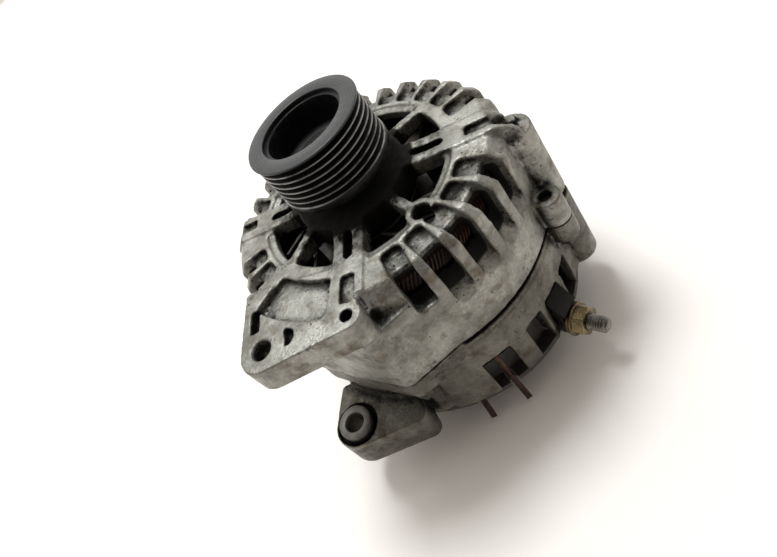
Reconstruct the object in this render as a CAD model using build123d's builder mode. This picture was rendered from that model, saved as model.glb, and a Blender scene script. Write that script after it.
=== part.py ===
"""Car alternator: an air-cooled claw-pole machine with a one-way poly-V pulley.

Frame: +Z runs up the shaft to the pulley. The origin is on the shaft axis at the flat end
of the rear cover, on which the machine stands. Angles are in degrees, anticlockwise from +X
as seen from the pulley. A profile point is (radius, height). All sizes are millimetres.
"""

from build123d import *
import os
from math import cos, radians, sin, tan

# ---------------------------------------------------------------- driving dimensions
# Fits
PRESS_GAP = 0.02          # ring in its seat, pin in its hole
RUN_GAP = 0.05            # parts that turn or slide in each other

# Heights, stacked up from the end of the rear cover
CUP_H = 17.5              # cup of the rear cover
RIM_T = 3.0               # rim of the rear cover, under the tabs
RIM_GAP = 0.5             # rim to tab ends
TAB_L = 25.5              # tabs of the rear bracket
REAR_BAND = 19.5          # closed band of the rear bracket
SEAM_GAP = 3.0            # between the two brackets
FRONT_DEPTH = 53.0        # front bracket
TAB_END = CUP_H + RIM_T + RIM_GAP
TAB_TOP = TAB_END + TAB_L
SEAM_LOW = TAB_TOP + REAR_BAND
SEAM_TOP = SEAM_LOW + SEAM_GAP
FACE_Z = SEAM_TOP + FRONT_DEPTH

# Brackets
BODY_R = 75.0             # at the shoulder
DRAFT = 1.2               # how much wider the brackets are at the seam
SEAT_WALL_T = 6.4         # wall round the stator core
WALL_T = 8.5              # wall round the winding heads
TAB_T = 5.5               # wall of the tabs
SHOULDER = 5.5            # chamfered edge of the front face
SHOULDER_ROUND = 3.0      # its two rounded corners
PLATE_T = 7.0             # front plate
HUB_R = 29.5              # boss round the front bearing
HUB_PROUD = 4.0           # above the front face
ARM_PROUD = 1.2           # arms and front foot above the front face
ARM_W = 15.5
ARM_SLOT_W = 4.4
ARM_SLOT_L = 16.4
ARM_SLOT_D = 5.5
ARM_START = 53.5          # four arms, 90 degrees apart
SPOKE_W = 4.8
SPOKES = (5.0, 98.0, 191.5, 277.0)
WINDOW_IN = 30.5
WINDOW_OUT = BODY_R - 26
ARM_SLOT_R = WINDOW_OUT - 8         # centre of the slot
LEDGE_W = 4.0             # step round the window ring
LEDGE_D = 1.6
LEDGES = ((9, 45), (62, 94), (102, 135), (155, 187.5), (244, 271), (285, 315))
END_WALL_T = 5.0          # wall of the rear bracket between the tabs
END_WALL_Z = TAB_TOP - 0.5
REAR_HUB_R = 22.0

# Slots over the shoulder of the front bracket
SLOT_W = 10.2
SLOT_PITCH = 12.1
SLOT_IN = BODY_R - 19.5   # where a slot starts on the face
SLOT_POCKET = 4.0         # depth of its first part
SLOT_LOW = 35.0           # how far it runs down the side
SLOT_SHORT = 23.0         # the first one, beside the foot
SLOT_ROUND = 3.5          # corners of its lower end
FRONT_SLOTS = 254.3       # first of five
FRONT_SLOT_COUNT = 5
SIDE_SLOTS = 344.9        # first of thirteen
SIDE_SLOT_COUNT = 13
LEFT_SLOTS = (168.0, 180.0)

# Castellations of the rear bracket: angle and width
REAR_SLOTS = ((260.0, 15.9), (278.3, 11.2), (290.2, 12.4), (302.8, 11.2))
BACK_SLOTS = 344.9        # first of fifteen on the far side
BACK_SLOT_COUNT = 15
BACK_SLOT_W = 10.5

# Feet, bosses and bolts
FOOT_POLAR = (BODY_R + 19.4, 205.94)
FOOT_R = 11.9
FOOT_BORE_R = 5.1         # for an M10 bolt
FOOT_T = 15.0
REAR_FOOT_R = 12.6
REAR_FOOT_T = 18.4
REAR_FOOT_DROP = 3.1      # its face below the tops of the tabs' gaps
BUSH_R = 9.2
BUSH_L = 20.5
BUSH_PROUD = 2.6
BUSH_RECESS_R = 11.6
BUSH_RECESS = 4.0
WEB_OUT = 4.2             # wall under the front foot, outside the shoulder
WEB_SEAM = 0.5            # between the two halves of the web
LONG_BOSS_R = 10.0
LONG_BOSS_POLAR = (BODY_R + 0.5, 323.5)
LONG_BORE_R = 4.3         # for an M8 bolt
LONG_BOSS_DROP = 9.0      # its seat below the front face
NOSE_W = 12.0             # end of the upper arm, which runs down to the long boss
NOSE_FAR = 4.0            # its far side, from the boss's axis
CHANNEL_W = 6.0
CHANNEL_D = 3.2
BOLT_CIRCLE = BODY_R + 5
BOLT_ANGLES = (54.0, 131.0, 310.6)
FOOT_BOLT_ANGLE = 233.7
BOLT_R = 3.0              # M6
BOLT_HEAD_R = 5.2
BOLT_HEAD_H = 5.0
BOLT_BOSS_R = 7.0
BOLT_BOSS_TOP = 15.5      # above the seam
BOLT_LUG = 9.0            # lugs of the rear bracket, below the seam
BOLT_SEAT_Z = SEAM_LOW - BOLT_LUG
BOLT_L = BOLT_LUG + SEAM_GAP + 12.0

# Stator
CORE_R = BODY_R - SEAT_WALL_T
CORE_BORE = CORE_R - 15.4
CORE_L = 34.0
CORE_Z = SEAM_LOW - 2.0
CORE_SLOTS = 36
CORE_SLOT_W = 3.4
CORE_SLOT_D = 10.8
WIRE_GAP = 0.2
CAVITY_R = BODY_R - WALL_T
HEAD_OUT = CAVITY_R - 1.2
HEAD_H = 15.0
LEAD_ANGLES = (170.0, 244.0, 259.5)
LEAD_W = 3.0
LEAD_T = 1.2
LEAD_DOWN_R = BODY_R - TAB_T - 1.5  # behind the tabs
LEAD_TIP_R = BODY_R
LEAD_TIP_Z = 3.0

# Rotor
CLAWS = 6
CLAW_R = CORE_BORE - 0.6
CLAW_ROOT = 14.5          # half angle
CLAW_TIP = 5.5            # half angle
ROTOR_L = 43.0
ROTOR_Z = 60.0
POLE_DISC_T = 11.0
POLE_CORE_R = 24.0
COIL_R = CLAW_R - 12.4
SHAFT_R = 9.5
FAN_PLATE_T = 1.4
FAN_H = 9.0
FAN_BLADES = 11
FAN_BLADE_T = 1.5
FAN_BLADE_L = 16.0
FAN_R = CLAW_R - 11.1     # centre of the blades

# Bearings: bore radius, outer radius, width, ball radius, number of balls
FRONT_BEARING = (8.5, 23.5, 14.0, 4.0, 8)
REAR_BEARING = (7.5, 17.5, 11.0, 3.0, 8)
FRONT_BEARING_Z = FACE_Z + 1.5      # its upper face
REAR_BEARING_Z = 43.0               # its upper face

# Pulley
PULLEY_R = 30.1
PULLEY_BORE = 19.7
PULLEY_Z = FACE_Z + 13.0  # its lower face
PULLEY_W = 31.0
CAP_R = 21.7
CAP_D = 2.4
RIB_PITCH = 3.56
GROOVES = 7
GROOVE_D = 2.9
CREST_R = 29.2
FIRST_GROOVE = 3.0        # below the front face
REAR_LAND_R = 29.7
HUB_FACE = 17.0           # front face of the hub, below the pulley's
HUB_SLEEVE_R = 13.1
THREAD_R = 7.9
ROLLERS = 14
ROLLER_L = 9.0

# Rear electrics
PLATE_SPAN = (198.0, 345.0)
PLATE_IN = 26.0
PLATE_OUT = BODY_R - 17
SINK_T = 4.5
RING_T = 5.0
DIODE_R = 6.4
DIODE_H = 7.0
DIODE_CIRCLE = PLATE_OUT - 13
NEGATIVE_DIODES = (212.0, 250.0, 332.0)
POSITIVE_DIODES = (231.0, 287.0, 313.0)
COVER_POSTS = (20.0, 100.0, 185.0, 268.0)
POST_CIRCLE = BODY_R - 23
END_ARMS = (*COVER_POSTS, 62.0, 142.0, 226.0, 324.0)     # arms of the rear end wall
POST_R = 4.0
COVER_R = BODY_R - 15
COVER_WALL = 2.5
COVER_RIM_R = BODY_R - 1.5
SKIRT_R = BODY_R - TAB_T - 3
SKIRT_H = 13.0
STUD_ANGLE = 290.2
STUD_Z = TAB_END + 4.0
STUD_R = 4.0              # M8
THREAD_PITCH_R = 3.6      # where the stud and its nut engage
NUT_AF = 13.0
NUT_H = 6.5
NUT_FLANGE_R = 8.6
NUT_FLANGE_T = 1.3
WASHER_T = 1.6
INSULATOR_W = 12.0
INSULATOR_R = BODY_R + 4
NUT_END_R = INSULATOR_R + WASHER_T + NUT_H
STUD_TIP = NUT_END_R + 8.9
LUG_R = BODY_R - 6.7
RING_OUT = 8.4            # slip rings
RING_W = 6.0
RING_Z = (14.0, 23.0)     # their middles
BRUSH = (6.4, 4.6, 15.0)  # width, height, length
HOLDER_IN = 11.0
HOLDER_OUT = 36.0


# ---------------------------------------------------------------- helpers
def polar(radius, angle):
    """Point at a radius and an angle."""
    return (radius * cos(radians(angle)), radius * sin(radians(angle)))


def radial_plane(angle):
    """Plane through the shaft axis: local x outward, local y up."""
    c, s = cos(radians(angle)), sin(radians(angle))
    return Plane(origin=(0, 0, 0), x_dir=(c, s, 0), z_dir=(s, -c, 0))


def outward_plane(angle, radius=0.0):
    """Plane that faces outward at an angle: local x sideways, local y up."""
    c, s = cos(radians(angle)), sin(radians(angle))
    return Plane(origin=(radius * c, radius * s, 0), x_dir=(-s, c, 0), z_dir=(c, s, 0))


def outline(*points, mode=Mode.ADD):
    """Face inside a closed run of straight edges, in the open sketch."""
    with BuildLine() as edge:
        Polyline(*points, close=True)
    make_face(edge.edges(), mode=mode)


def arc_band(inner, outer, start, end, mode=Mode.ADD):
    """Sector of a ring, in the open sketch."""
    with BuildLine() as edge:
        low = CenterArc((0, 0), inner, start, end - start)
        high = CenterArc((0, 0), outer, start, end - start)
        Line(low @ 0, high @ 0)
        Line(low @ 1, high @ 1)
    make_face(edge.edges(), mode=mode)


def turned(*points, mode=Mode.ADD):
    """Solid of revolution about the shaft axis from a profile, in the open part."""
    with BuildSketch(Plane.XZ) as section:
        outline(*points)
    revolve(section.sketch, axis=Axis.Z, mode=mode)


def post(at, radius, low, high, mode=Mode.ADD):
    """Upright cylinder between two heights, in the open part."""
    with BuildSketch(Plane.XY.offset(low)) as disc:
        with Locations(at):
            Circle(radius)
    extrude(disc.sketch, amount=high - low, mode=mode)


def radial_box(angle, inner, outer, low, high, width, mode=Mode.ADD):
    """Block whose flat sides face along a radius, in the open part."""
    with BuildSketch(radial_plane(angle)) as side:
        outline((inner, low), (outer, low), (outer, high), (inner, high))
    extrude(side.sketch, amount=width / 2, both=True, mode=mode)


FOOT_XY = polar(*FOOT_POLAR)
BOLTS = [polar(BOLT_CIRCLE, a) for a in BOLT_ANGLES]
FOOT_BOLT = polar(BOLT_CIRCLE, FOOT_BOLT_ANGLE)
LONG_BOSS = polar(*LONG_BOSS_POLAR)
POSTS = [polar(POST_CIRCLE, a) for a in COVER_POSTS]
FOOT_TOP = FACE_Z + ARM_PROUD
CORE_TOP = CORE_Z + CORE_L
FRONT_BEARING_LOW = FRONT_BEARING_Z - FRONT_BEARING[2]
REAR_BEARING_LOW = REAR_BEARING_Z - REAR_BEARING[2]
PLATE_LOW = FACE_Z - PLATE_T
LONG_TOP = FACE_Z - LONG_BOSS_DROP

# ---------------------------------------------------------------- front bracket
# Cup-shaped die casting. Its front plate has eight windows between ribbed arms and thin
# spokes, and slots run out over the shoulder and down the side past the winding heads.
SIDE_ANGLES = [SIDE_SLOTS + SLOT_PITCH * i for i in range(SIDE_SLOT_COUNT)]
FRONT_ANGLES = [FRONT_SLOTS + SLOT_PITCH * i for i in range(FRONT_SLOT_COUNT)]
LONG_SLOTS = FRONT_ANGLES[1:] + SIDE_ANGLES + list(LEFT_SLOTS)


def foot_web(low, high, inset):
    """Wall that bulges out under the front foot and round its bolt, in the open part."""
    with BuildSketch(Plane.XY.offset(low)) as plan:
        with BuildLine() as edge:
            CenterArc(polar(BODY_R + WEB_OUT - 2.8, 196), 3.2 - inset, 0, 360)
            CenterArc(polar(BODY_R + WEB_OUT - 3.2, 213), 3.2 - inset, 0, 360)
            CenterArc(FOOT_BOLT, BOLT_BOSS_R - 0.8 - inset, 0, 360)
            CenterArc(polar(BODY_R - 2, 252), 3.5 - inset, 0, 360)
        make_hull(edge.edges())
    extrude(plan.sketch, amount=high - low)


def side_opening(depth):
    """Tool for the open part of a shoulder slot, at angle 0: round-ended, sloped inside."""
    with BuildPart() as tool:
        with BuildSketch(Plane.YZ) as mouth:
            with Locations((0, FACE_Z + 10 - depth / 2)):
                RectangleRounded(SLOT_W, depth + 20, SLOT_ROUND)
        extrude(mouth.sketch, amount=BODY_R + 12)
        with BuildSketch(Plane.XZ) as side:
            outline(
                (CAVITY_R - 1, FACE_Z + 2), (CAVITY_R - 1, CORE_TOP + 7), (CORE_R + 1.2, CORE_TOP + 1),
                (BODY_R + 1, FACE_Z - depth + 1), (BODY_R + 12, FACE_Z - depth), (BODY_R + 12, FACE_Z + 2),
            )
        extrude(side.sketch, amount=SLOT_W, both=True, mode=Mode.INTERSECT)
    return tool.part


# Long boss, and the end of the upper arm that runs over the shoulder and down to its mouth
with BuildPart() as nose_limits:
    radial_box(LONG_BOSS_POLAR[1], BODY_R - 20, BODY_R + 20, SEAM_TOP, LONG_TOP, 4 * LONG_BOSS_R)
    with BuildSketch(radial_plane(LONG_BOSS_POLAR[1]).offset(-NOSE_FAR)) as nose_side:
        with BuildLine():
            nose_top = Line((BODY_R - 20, FOOT_TOP), (BODY_R - 2.5, FOOT_TOP))
            bend = ThreePointArc(nose_top @ 1, (BODY_R + 3.6, FOOT_TOP - 3.8), (BODY_R + 6.8, LONG_TOP))
            Polyline(bend @ 1, (BODY_R + 6.8, LONG_TOP - 1), (BODY_R - 20, LONG_TOP - 1), nose_top @ 0)
        make_face()
    extrude(nose_side.sketch, amount=NOSE_W)
with BuildPart() as long_boss:
    post(LONG_BOSS, LONG_BOSS_R, SEAM_TOP, FOOT_TOP)
    radial_box(LONG_BOSS_POLAR[1], BODY_R - 19, BODY_R + 0.5, LONG_TOP - 4, FOOT_TOP, 2 * LONG_BOSS_R - 2)
    add(nose_limits.part, mode=Mode.INTERSECT)

with BuildPart() as arms:
    with BuildSketch(Plane.XY.offset(PLATE_LOW)):
        with PolarLocations((BODY_R + HUB_R) / 2, 4, start_angle=ARM_START):
            Rectangle(BODY_R - HUB_R + 4, ARM_W)
    extrude(amount=PLATE_T + ARM_PROUD)
    turned(
        (0, PLATE_LOW), (BODY_R + ARM_PROUD, PLATE_LOW), (BODY_R + ARM_PROUD, FACE_Z - SHOULDER + 0.5),
        (BODY_R - SHOULDER + 0.5, FOOT_TOP), (0, FOOT_TOP), mode=Mode.INTERSECT,
    )

with BuildPart() as front_housing:
    turned(
        (0, SEAM_TOP), (BODY_R + DRAFT, SEAM_TOP), (BODY_R, FACE_Z - SHOULDER),
        (BODY_R - SHOULDER, FACE_Z), (WINDOW_OUT, FACE_Z), (HUB_R, FACE_Z + HUB_PROUD - 1),
        (HUB_R, FACE_Z + HUB_PROUD), (0, FACE_Z + HUB_PROUD),
    )
    shoulder_edges = front_housing.edges().filter_by(GeomType.CIRCLE).filter_by(
        lambda e: e.radius > BODY_R - SHOULDER - 1 and e.center().Z > SEAM_TOP + 1)
    fillet(shoulder_edges, SHOULDER_ROUND)
    # arms, raised a little above the face
    add(arms.part)
    # front foot
    with BuildSketch(Plane.XY.offset(FOOT_TOP - FOOT_T)):
        with BuildLine() as foot_edges:
            CenterArc(FOOT_XY, FOOT_R, 0, 360)
            CenterArc(FOOT_BOLT, BOLT_BOSS_R, 0, 360)
            CenterArc(polar(BODY_R - 0.1, 185.7), 2.5, 0, 360)
            CenterArc(polar(BODY_R - 18.4, 225), 4, 0, 360)
        make_hull(foot_edges.edges())
    extrude(amount=FOOT_T)
    foot_web(SEAM_TOP, FOOT_TOP - FOOT_T + 1, 0)
    # bolt bosses and the long upper boss
    for at in BOLTS:
        post(at, BOLT_BOSS_R, SEAM_TOP, SEAM_TOP + BOLT_BOSS_TOP)
    add(long_boss.part)
    # inside: stator seat, winding space, bearing seat
    turned(
        (0, SEAM_TOP - 40), (CORE_R + PRESS_GAP, SEAM_TOP - 40), (CORE_R + PRESS_GAP, CORE_TOP),
        (CAVITY_R, CORE_TOP), (CAVITY_R, PLATE_LOW - 3), (CAVITY_R - 4, PLATE_LOW),
        (HUB_R + 1.5, PLATE_LOW), (HUB_R, FRONT_BEARING_LOW), (0, FRONT_BEARING_LOW),
        mode=Mode.SUBTRACT,
    )
    seat_r = FRONT_BEARING[1] + PRESS_GAP
    post((0, 0), seat_r, FRONT_BEARING_LOW - 1, FRONT_BEARING_Z, mode=Mode.SUBTRACT)
    post((0, 0), 15.5, FRONT_BEARING_Z - 1, FACE_Z + 20, mode=Mode.SUBTRACT)
    # windows
    with BuildSketch(Plane.XY.offset(PLATE_LOW - 1)) as windows:
        Circle(WINDOW_OUT)
        Circle(WINDOW_IN, mode=Mode.SUBTRACT)
        with PolarLocations(40, 4, start_angle=ARM_START):
            Rectangle(40, ARM_W, mode=Mode.SUBTRACT)
        for angle in SPOKES:
            with PolarLocations(40, 1, start_angle=angle):
                Rectangle(40, SPOKE_W, mode=Mode.SUBTRACT)
        fillet(windows.vertices(), 1.8)
    extrude(amount=PLATE_T + 20, mode=Mode.SUBTRACT)
    with BuildSketch(Plane.XY.offset(FACE_Z - LEDGE_D)):
        for start, end in LEDGES:
            arc_band(WINDOW_OUT - 1, WINDOW_OUT + LEDGE_W, start, end)
    extrude(amount=LEDGE_D + 3, mode=Mode.SUBTRACT)
    # ring boss at the end of the lower spoke
    with BuildSketch(Plane.XY.offset(PLATE_LOW)):
        with PolarLocations(WINDOW_OUT + 3, 1, start_angle=SPOKES[3]):
            Circle(7.3)
    extrude(amount=PLATE_T + 0.4)
    with BuildSketch(Plane.XY.offset(PLATE_LOW - 1)):
        with PolarLocations(WINDOW_OUT + 3, 1, start_angle=SPOKES[3]):
            Circle(4.5)
    extrude(amount=PLATE_T + 4, mode=Mode.SUBTRACT)
    # slots of the arms
    with BuildSketch(Plane.XY.offset(FOOT_TOP - ARM_SLOT_D)):
        with PolarLocations(ARM_SLOT_R, 4, start_angle=ARM_START):
            SlotOverall(ARM_SLOT_L, ARM_SLOT_W)
    extrude(amount=ARM_SLOT_D + 3, mode=Mode.SUBTRACT)
    # shoulder slots: a shallow pocket on the face, then open down the side
    with BuildSketch(Plane.XY.offset(FACE_Z - SLOT_POCKET)) as pockets:
        for angle in [FRONT_ANGLES[0]] + LONG_SLOTS:
            with PolarLocations(SLOT_IN + 14, 1, start_angle=angle):
                RectangleRounded(28, SLOT_W, 2.4)
    extrude(amount=SLOT_POCKET + 4, mode=Mode.SUBTRACT)
    deep, short = side_opening(SLOT_LOW), side_opening(SLOT_SHORT)
    for angle in LONG_SLOTS:
        add(deep.rotate(Axis.Z, angle), mode=Mode.SUBTRACT)
    add(short.rotate(Axis.Z, FRONT_ANGLES[0]), mode=Mode.SUBTRACT)
    # channels of the two side arms; the right one leads to the mouth of the long boss
    for angle, drop in ((LONG_BOSS_POLAR[1], LONG_TOP), (ARM_START + 90, FACE_Z - 7)):
        with BuildSketch(radial_plane(angle).offset(-CHANNEL_W / 3)) as channel:
            outline(
                (BODY_R - 15.5, FOOT_TOP - CHANNEL_D), (BODY_R - 4, FOOT_TOP - CHANNEL_D),
                (BODY_R, FOOT_TOP - CHANNEL_D - 2), (BODY_R + 2, drop), (BODY_R + 12, drop),
                (BODY_R + 12, FOOT_TOP + 1), (BODY_R - 15.5, FOOT_TOP + 1),
            )
        extrude(channel.sketch, amount=CHANNEL_W, mode=Mode.SUBTRACT)
    post(LONG_BOSS, LONG_BORE_R + 1, LONG_TOP, FOOT_TOP + 1, mode=Mode.SUBTRACT)
    # pockets of the foot
    with BuildSketch(Plane.XY.offset(FOOT_TOP - 5)) as foot_pocket:
        arc_band(BODY_R - 17.5, BODY_R + 3.5, 193.5, 225.5)
        fillet(foot_pocket.vertices(), 2.5)
    extrude(amount=6, mode=Mode.SUBTRACT)
    with BuildSketch(Plane.XY.offset(FOOT_TOP - 3)):
        with PolarLocations(BODY_R - 9, 1, start_angle=FOOT_BOLT_ANGLE):
            RectangleRounded(15, 7, 1.5)
    extrude(amount=4, mode=Mode.SUBTRACT)
    with BuildSketch(Plane.XY.offset(FOOT_TOP - 6)):
        with Locations(Location((*polar(BODY_R + 8.5, 196.9), 0), (0, 0, 60))):
            Rectangle(13, 5)
    extrude(amount=7, mode=Mode.SUBTRACT)
    # crescent beside the foot's hole
    with BuildSketch(Plane.XY.offset(FOOT_TOP - 4)):
        with BuildLine():
            inner_arc = CenterArc(FOOT_XY, FOOT_R + 1.2, -45, 40)
            ThreePointArc(inner_arc @ 0, (FOOT_XY[0] + 15.6, FOOT_XY[1] - 8.2), inner_arc @ 1)
        make_face()
    extrude(amount=5, mode=Mode.SUBTRACT)
    # holes
    post(FOOT_XY, FOOT_BORE_R, 0, FOOT_TOP + 1, mode=Mode.SUBTRACT)
    chamfer(
        front_housing.edges().filter_by(GeomType.CIRCLE)
        .filter_by(lambda e: abs(e.radius - FOOT_BORE_R) < 0.01 and e.center().Z > FOOT_TOP - 1),
        length=0.6,
    )
    for at in [*BOLTS, FOOT_BOLT]:
        post(at, BOLT_R + PRESS_GAP, 0, FOOT_TOP + 1, mode=Mode.SUBTRACT)
    post(LONG_BOSS, LONG_BORE_R, 0, LONG_TOP + 1, mode=Mode.SUBTRACT)

# ---------------------------------------------------------------- rear bracket
# Die casting with a castellated rear rim, the rear foot and the rear half of the long boss.
BACK_ANGLES = [BACK_SLOTS + SLOT_PITCH * i for i in range(BACK_SLOT_COUNT)]
REAR_FOOT_TOP = TAB_TOP - REAR_FOOT_DROP

with BuildPart() as rear_housing:
    turned(
        (0, TAB_END), (BODY_R + 0.2, TAB_END), (BODY_R + DRAFT - 0.2, SEAM_LOW - 3),
        (BODY_R + 0.2, SEAM_LOW - 3), (BODY_R + 0.2, SEAM_LOW), (0, SEAM_LOW),
    )
    for angle, width in REAR_SLOTS:
        radial_box(angle, 60, 90, TAB_END - 1, TAB_TOP, width, mode=Mode.SUBTRACT)
    for angle in BACK_ANGLES:
        radial_box(angle, 60, 90, TAB_END - 1, TAB_TOP, BACK_SLOT_W, mode=Mode.SUBTRACT)
    # rear foot
    with BuildSketch(Plane.XY.offset(REAR_FOOT_TOP - REAR_FOOT_T)):
        with BuildLine() as rear_foot_edges:
            CenterArc(FOOT_XY, REAR_FOOT_R, 0, 360)
            CenterArc(polar(BODY_R + 5.4, 194), 2.5, 0, 360)
            CenterArc(polar(BODY_R + 10.2, 226.7), 5, 0, 360)
            CenterArc(polar(BODY_R - 12.9, 213.2), 4, 0, 360)
        make_hull(rear_foot_edges.edges())
    extrude(amount=REAR_FOOT_T)
    # lugs for the bolts, the wall round the foot's lug, and the long boss
    for at in BOLTS:
        post(at, BOLT_BOSS_R, BOLT_SEAT_Z, SEAM_TOP)
    foot_web(BOLT_SEAT_Z, SEAM_TOP - WEB_SEAM, 0.6)
    post(FOOT_BOLT, BOLT_BOSS_R - 2, BOLT_SEAT_Z + 1, SEAM_TOP)
    post(LONG_BOSS, LONG_BOSS_R, TAB_END, SEAM_LOW)
    # inside: winding space above the end wall, electrics below it, bearing hub
    turned(
        (0, END_WALL_Z), (CAVITY_R, END_WALL_Z), (CAVITY_R, CORE_Z), (CORE_R + PRESS_GAP, CORE_Z),
        (CORE_R + PRESS_GAP, SEAM_TOP + 1), (0, SEAM_TOP + 1), mode=Mode.SUBTRACT,
    )
    turned(
        (REAR_HUB_R, 0), (BODY_R - TAB_T, 0), (BODY_R - TAB_T, END_WALL_Z - END_WALL_T),
        (REAR_HUB_R, END_WALL_Z - END_WALL_T), mode=Mode.SUBTRACT,
    )
    post((0, 0), REAR_HUB_R + 1, 0, REAR_BEARING_LOW - 1, mode=Mode.SUBTRACT)
    post((0, 0), REAR_BEARING[1] + PRESS_GAP, 0, REAR_BEARING_Z, mode=Mode.SUBTRACT)
    post((0, 0), 12.5, 0, 60, mode=Mode.SUBTRACT)
    # air windows of the end wall
    with BuildSketch(Plane.XY.offset(END_WALL_Z - END_WALL_T - 1)) as end_windows:
        Circle(CAVITY_R - 8.5)
        Circle(REAR_HUB_R + 5, mode=Mode.SUBTRACT)
        for angle in END_ARMS:
            with Locations(Location((*polar(40, angle), 0), (0, 0, angle))):
                Rectangle(44, 11, mode=Mode.SUBTRACT)
        fillet(end_windows.vertices(), 2)
    extrude(amount=END_WALL_T + 2, mode=Mode.SUBTRACT)
    for angle in LEAD_ANGLES:
        radial_box(angle, HEAD_OUT - 4.8, HEAD_OUT - 1.3, 30, 50, LEAD_W + 1.6, mode=Mode.SUBTRACT)
    # posts for the cover, each with a threaded end, and for the regulator
    for at in POSTS:
        post(at, POST_R, 8, END_WALL_Z)
        post(at, 2.5, 1.6, 8)
    # room for the bolt heads, and holes
    for at in [*BOLTS, FOOT_BOLT]:
        post(at, BOLT_HEAD_R + 1, 0, BOLT_SEAT_Z, mode=Mode.SUBTRACT)
        post(at, BOLT_R + 0.2, 0, 90, mode=Mode.SUBTRACT)
    post(LONG_BOSS, LONG_BORE_R, 0, 90, mode=Mode.SUBTRACT)
    post(FOOT_XY, BUSH_R + PRESS_GAP, 0, 90, mode=Mode.SUBTRACT)
    post(FOOT_XY, BUSH_RECESS_R, REAR_FOOT_TOP - BUSH_RECESS, 90, mode=Mode.SUBTRACT)

# Through bolts: hexagon heads with a flange, at the rear
with BuildPart() as through_bolts:
    for at in [*BOLTS, FOOT_BOLT]:
        post(at, BOLT_R, BOLT_SEAT_Z - 0.5, BOLT_SEAT_Z + BOLT_L)
        post(at, BOLT_HEAD_R, BOLT_SEAT_Z - 1.2, BOLT_SEAT_Z)
        with BuildSketch(Plane.XY.offset(BOLT_SEAT_Z - BOLT_HEAD_H)):
            with Locations(at):
                RegularPolygon(4.6, 6)
        extrude(amount=BOLT_HEAD_H - 1)

# Split steel bush that slides in the rear foot as the mounting bolt is tightened
with BuildPart() as foot_bush:
    bush_top = REAR_FOOT_TOP + BUSH_PROUD
    post(FOOT_XY, BUSH_R, bush_top - BUSH_L, bush_top)
    post(FOOT_XY, FOOT_BORE_R, 0, 90, mode=Mode.SUBTRACT)
    bush_mouths = foot_bush.edges().filter_by(GeomType.CIRCLE)
    chamfer(bush_mouths.filter_by(lambda e: e.radius < FOOT_BORE_R + 0.01), length=0.7)

# ---------------------------------------------------------------- stator
with BuildPart() as stator_core:
    with BuildSketch(Plane.XY.offset(CORE_Z)):
        Circle(CORE_R)
        Circle(CORE_BORE, mode=Mode.SUBTRACT)
        with PolarLocations(CORE_BORE + CORE_SLOT_D / 2 - 1, CORE_SLOTS):
            Rectangle(CORE_SLOT_D + 2, CORE_SLOT_W, mode=Mode.SUBTRACT)
    extrude(amount=CORE_L)

HEAD_IN = CORE_BORE + 1.4
with BuildPart() as stator_winding:
    with BuildSketch(Plane.XY.offset(CORE_Z - 1)):
        with PolarLocations(HEAD_IN + 4.4, CORE_SLOTS):
            Rectangle(8.4, CORE_SLOT_W - 2 * WIRE_GAP)
    extrude(amount=CORE_L + 2)
    for low, high, lip in ((CORE_TOP, CORE_TOP + HEAD_H, 1), (CORE_Z, CORE_Z - HEAD_H, -1)):
        turned(
            (HEAD_IN, low + lip * WIRE_GAP), (HEAD_OUT - 1, low + lip * WIRE_GAP), (HEAD_OUT, low + 4 * lip),
            (HEAD_OUT - 1.5, high - 3 * lip), (HEAD_OUT - 4, high), (HEAD_IN + 3, high),
            (HEAD_IN, high - 4 * lip),
        )

with BuildPart() as stator_leads:
    for angle in LEAD_ANGLES:
        with BuildSketch(radial_plane(angle)):
            with BuildLine() as lead_path:
                Polyline(
                    (HEAD_OUT - 4.3, CORE_Z - HEAD_H - 0.2), (HEAD_OUT - 3.5, 38.6), (LEAD_DOWN_R, 36.4),
                    (LEAD_DOWN_R, TAB_END - 1), (LEAD_TIP_R, LEAD_TIP_Z),
                )
            trace(lead_path.line, line_width=LEAD_T)
        extrude(amount=LEAD_W / 2, both=True)

# ---------------------------------------------------------------- bearings
def bearing_rings(bearing, top):
    """Inner and outer ring, balls, cage and seals of a sealed ball bearing."""
    bore, outside, width, ball_r, count = bearing
    middle = top - width / 2
    pitch_r = (bore + outside) / 2
    land = 0.62 * ball_r
    with BuildPart() as inner:
        turned((bore + PRESS_GAP / 2, top), (pitch_r - land, top), (pitch_r - land, top - width),
               (bore + PRESS_GAP / 2, top - width))
        with BuildSketch(Plane.XZ) as groove:
            with Locations((pitch_r, middle)):
                Circle(ball_r + RUN_GAP)
        revolve(groove.sketch, axis=Axis.Z, mode=Mode.SUBTRACT)
    with BuildPart() as outer:
        turned((outside, top), (pitch_r + land, top), (pitch_r + land, top - width), (outside, top - width))
        with BuildSketch(Plane.XZ) as groove:
            with Locations((pitch_r, middle)):
                Circle(ball_r + RUN_GAP)
        revolve(groove.sketch, axis=Axis.Z, mode=Mode.SUBTRACT)
    with BuildPart() as balls:
        with Locations(Plane.XY.offset(middle)):
            with PolarLocations(pitch_r, count):
                Sphere(ball_r)
    with BuildPart() as cage:
        turned((pitch_r - land / 2, middle + ball_r * 0.8), (pitch_r + land / 2, middle + ball_r * 0.8),
               (pitch_r + land / 2, middle - ball_r * 0.8), (pitch_r - land / 2, middle - ball_r * 0.8))
        with Locations(Plane.XY.offset(middle)):
            with PolarLocations(pitch_r, count):
                Sphere(ball_r + RUN_GAP, mode=Mode.SUBTRACT)
    with BuildPart() as seals:
        for low in (top - 1.0, top - width + 0.3):
            turned((pitch_r - land + 0.1, low), (pitch_r + land, low), (pitch_r + land, low + 0.7),
                   (pitch_r - land + 0.1, low + 0.7))
    return inner, outer, balls, cage, seals


front_set = bearing_rings(FRONT_BEARING, FRONT_BEARING_Z)
rear_set = bearing_rings(REAR_BEARING, REAR_BEARING_Z)

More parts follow.
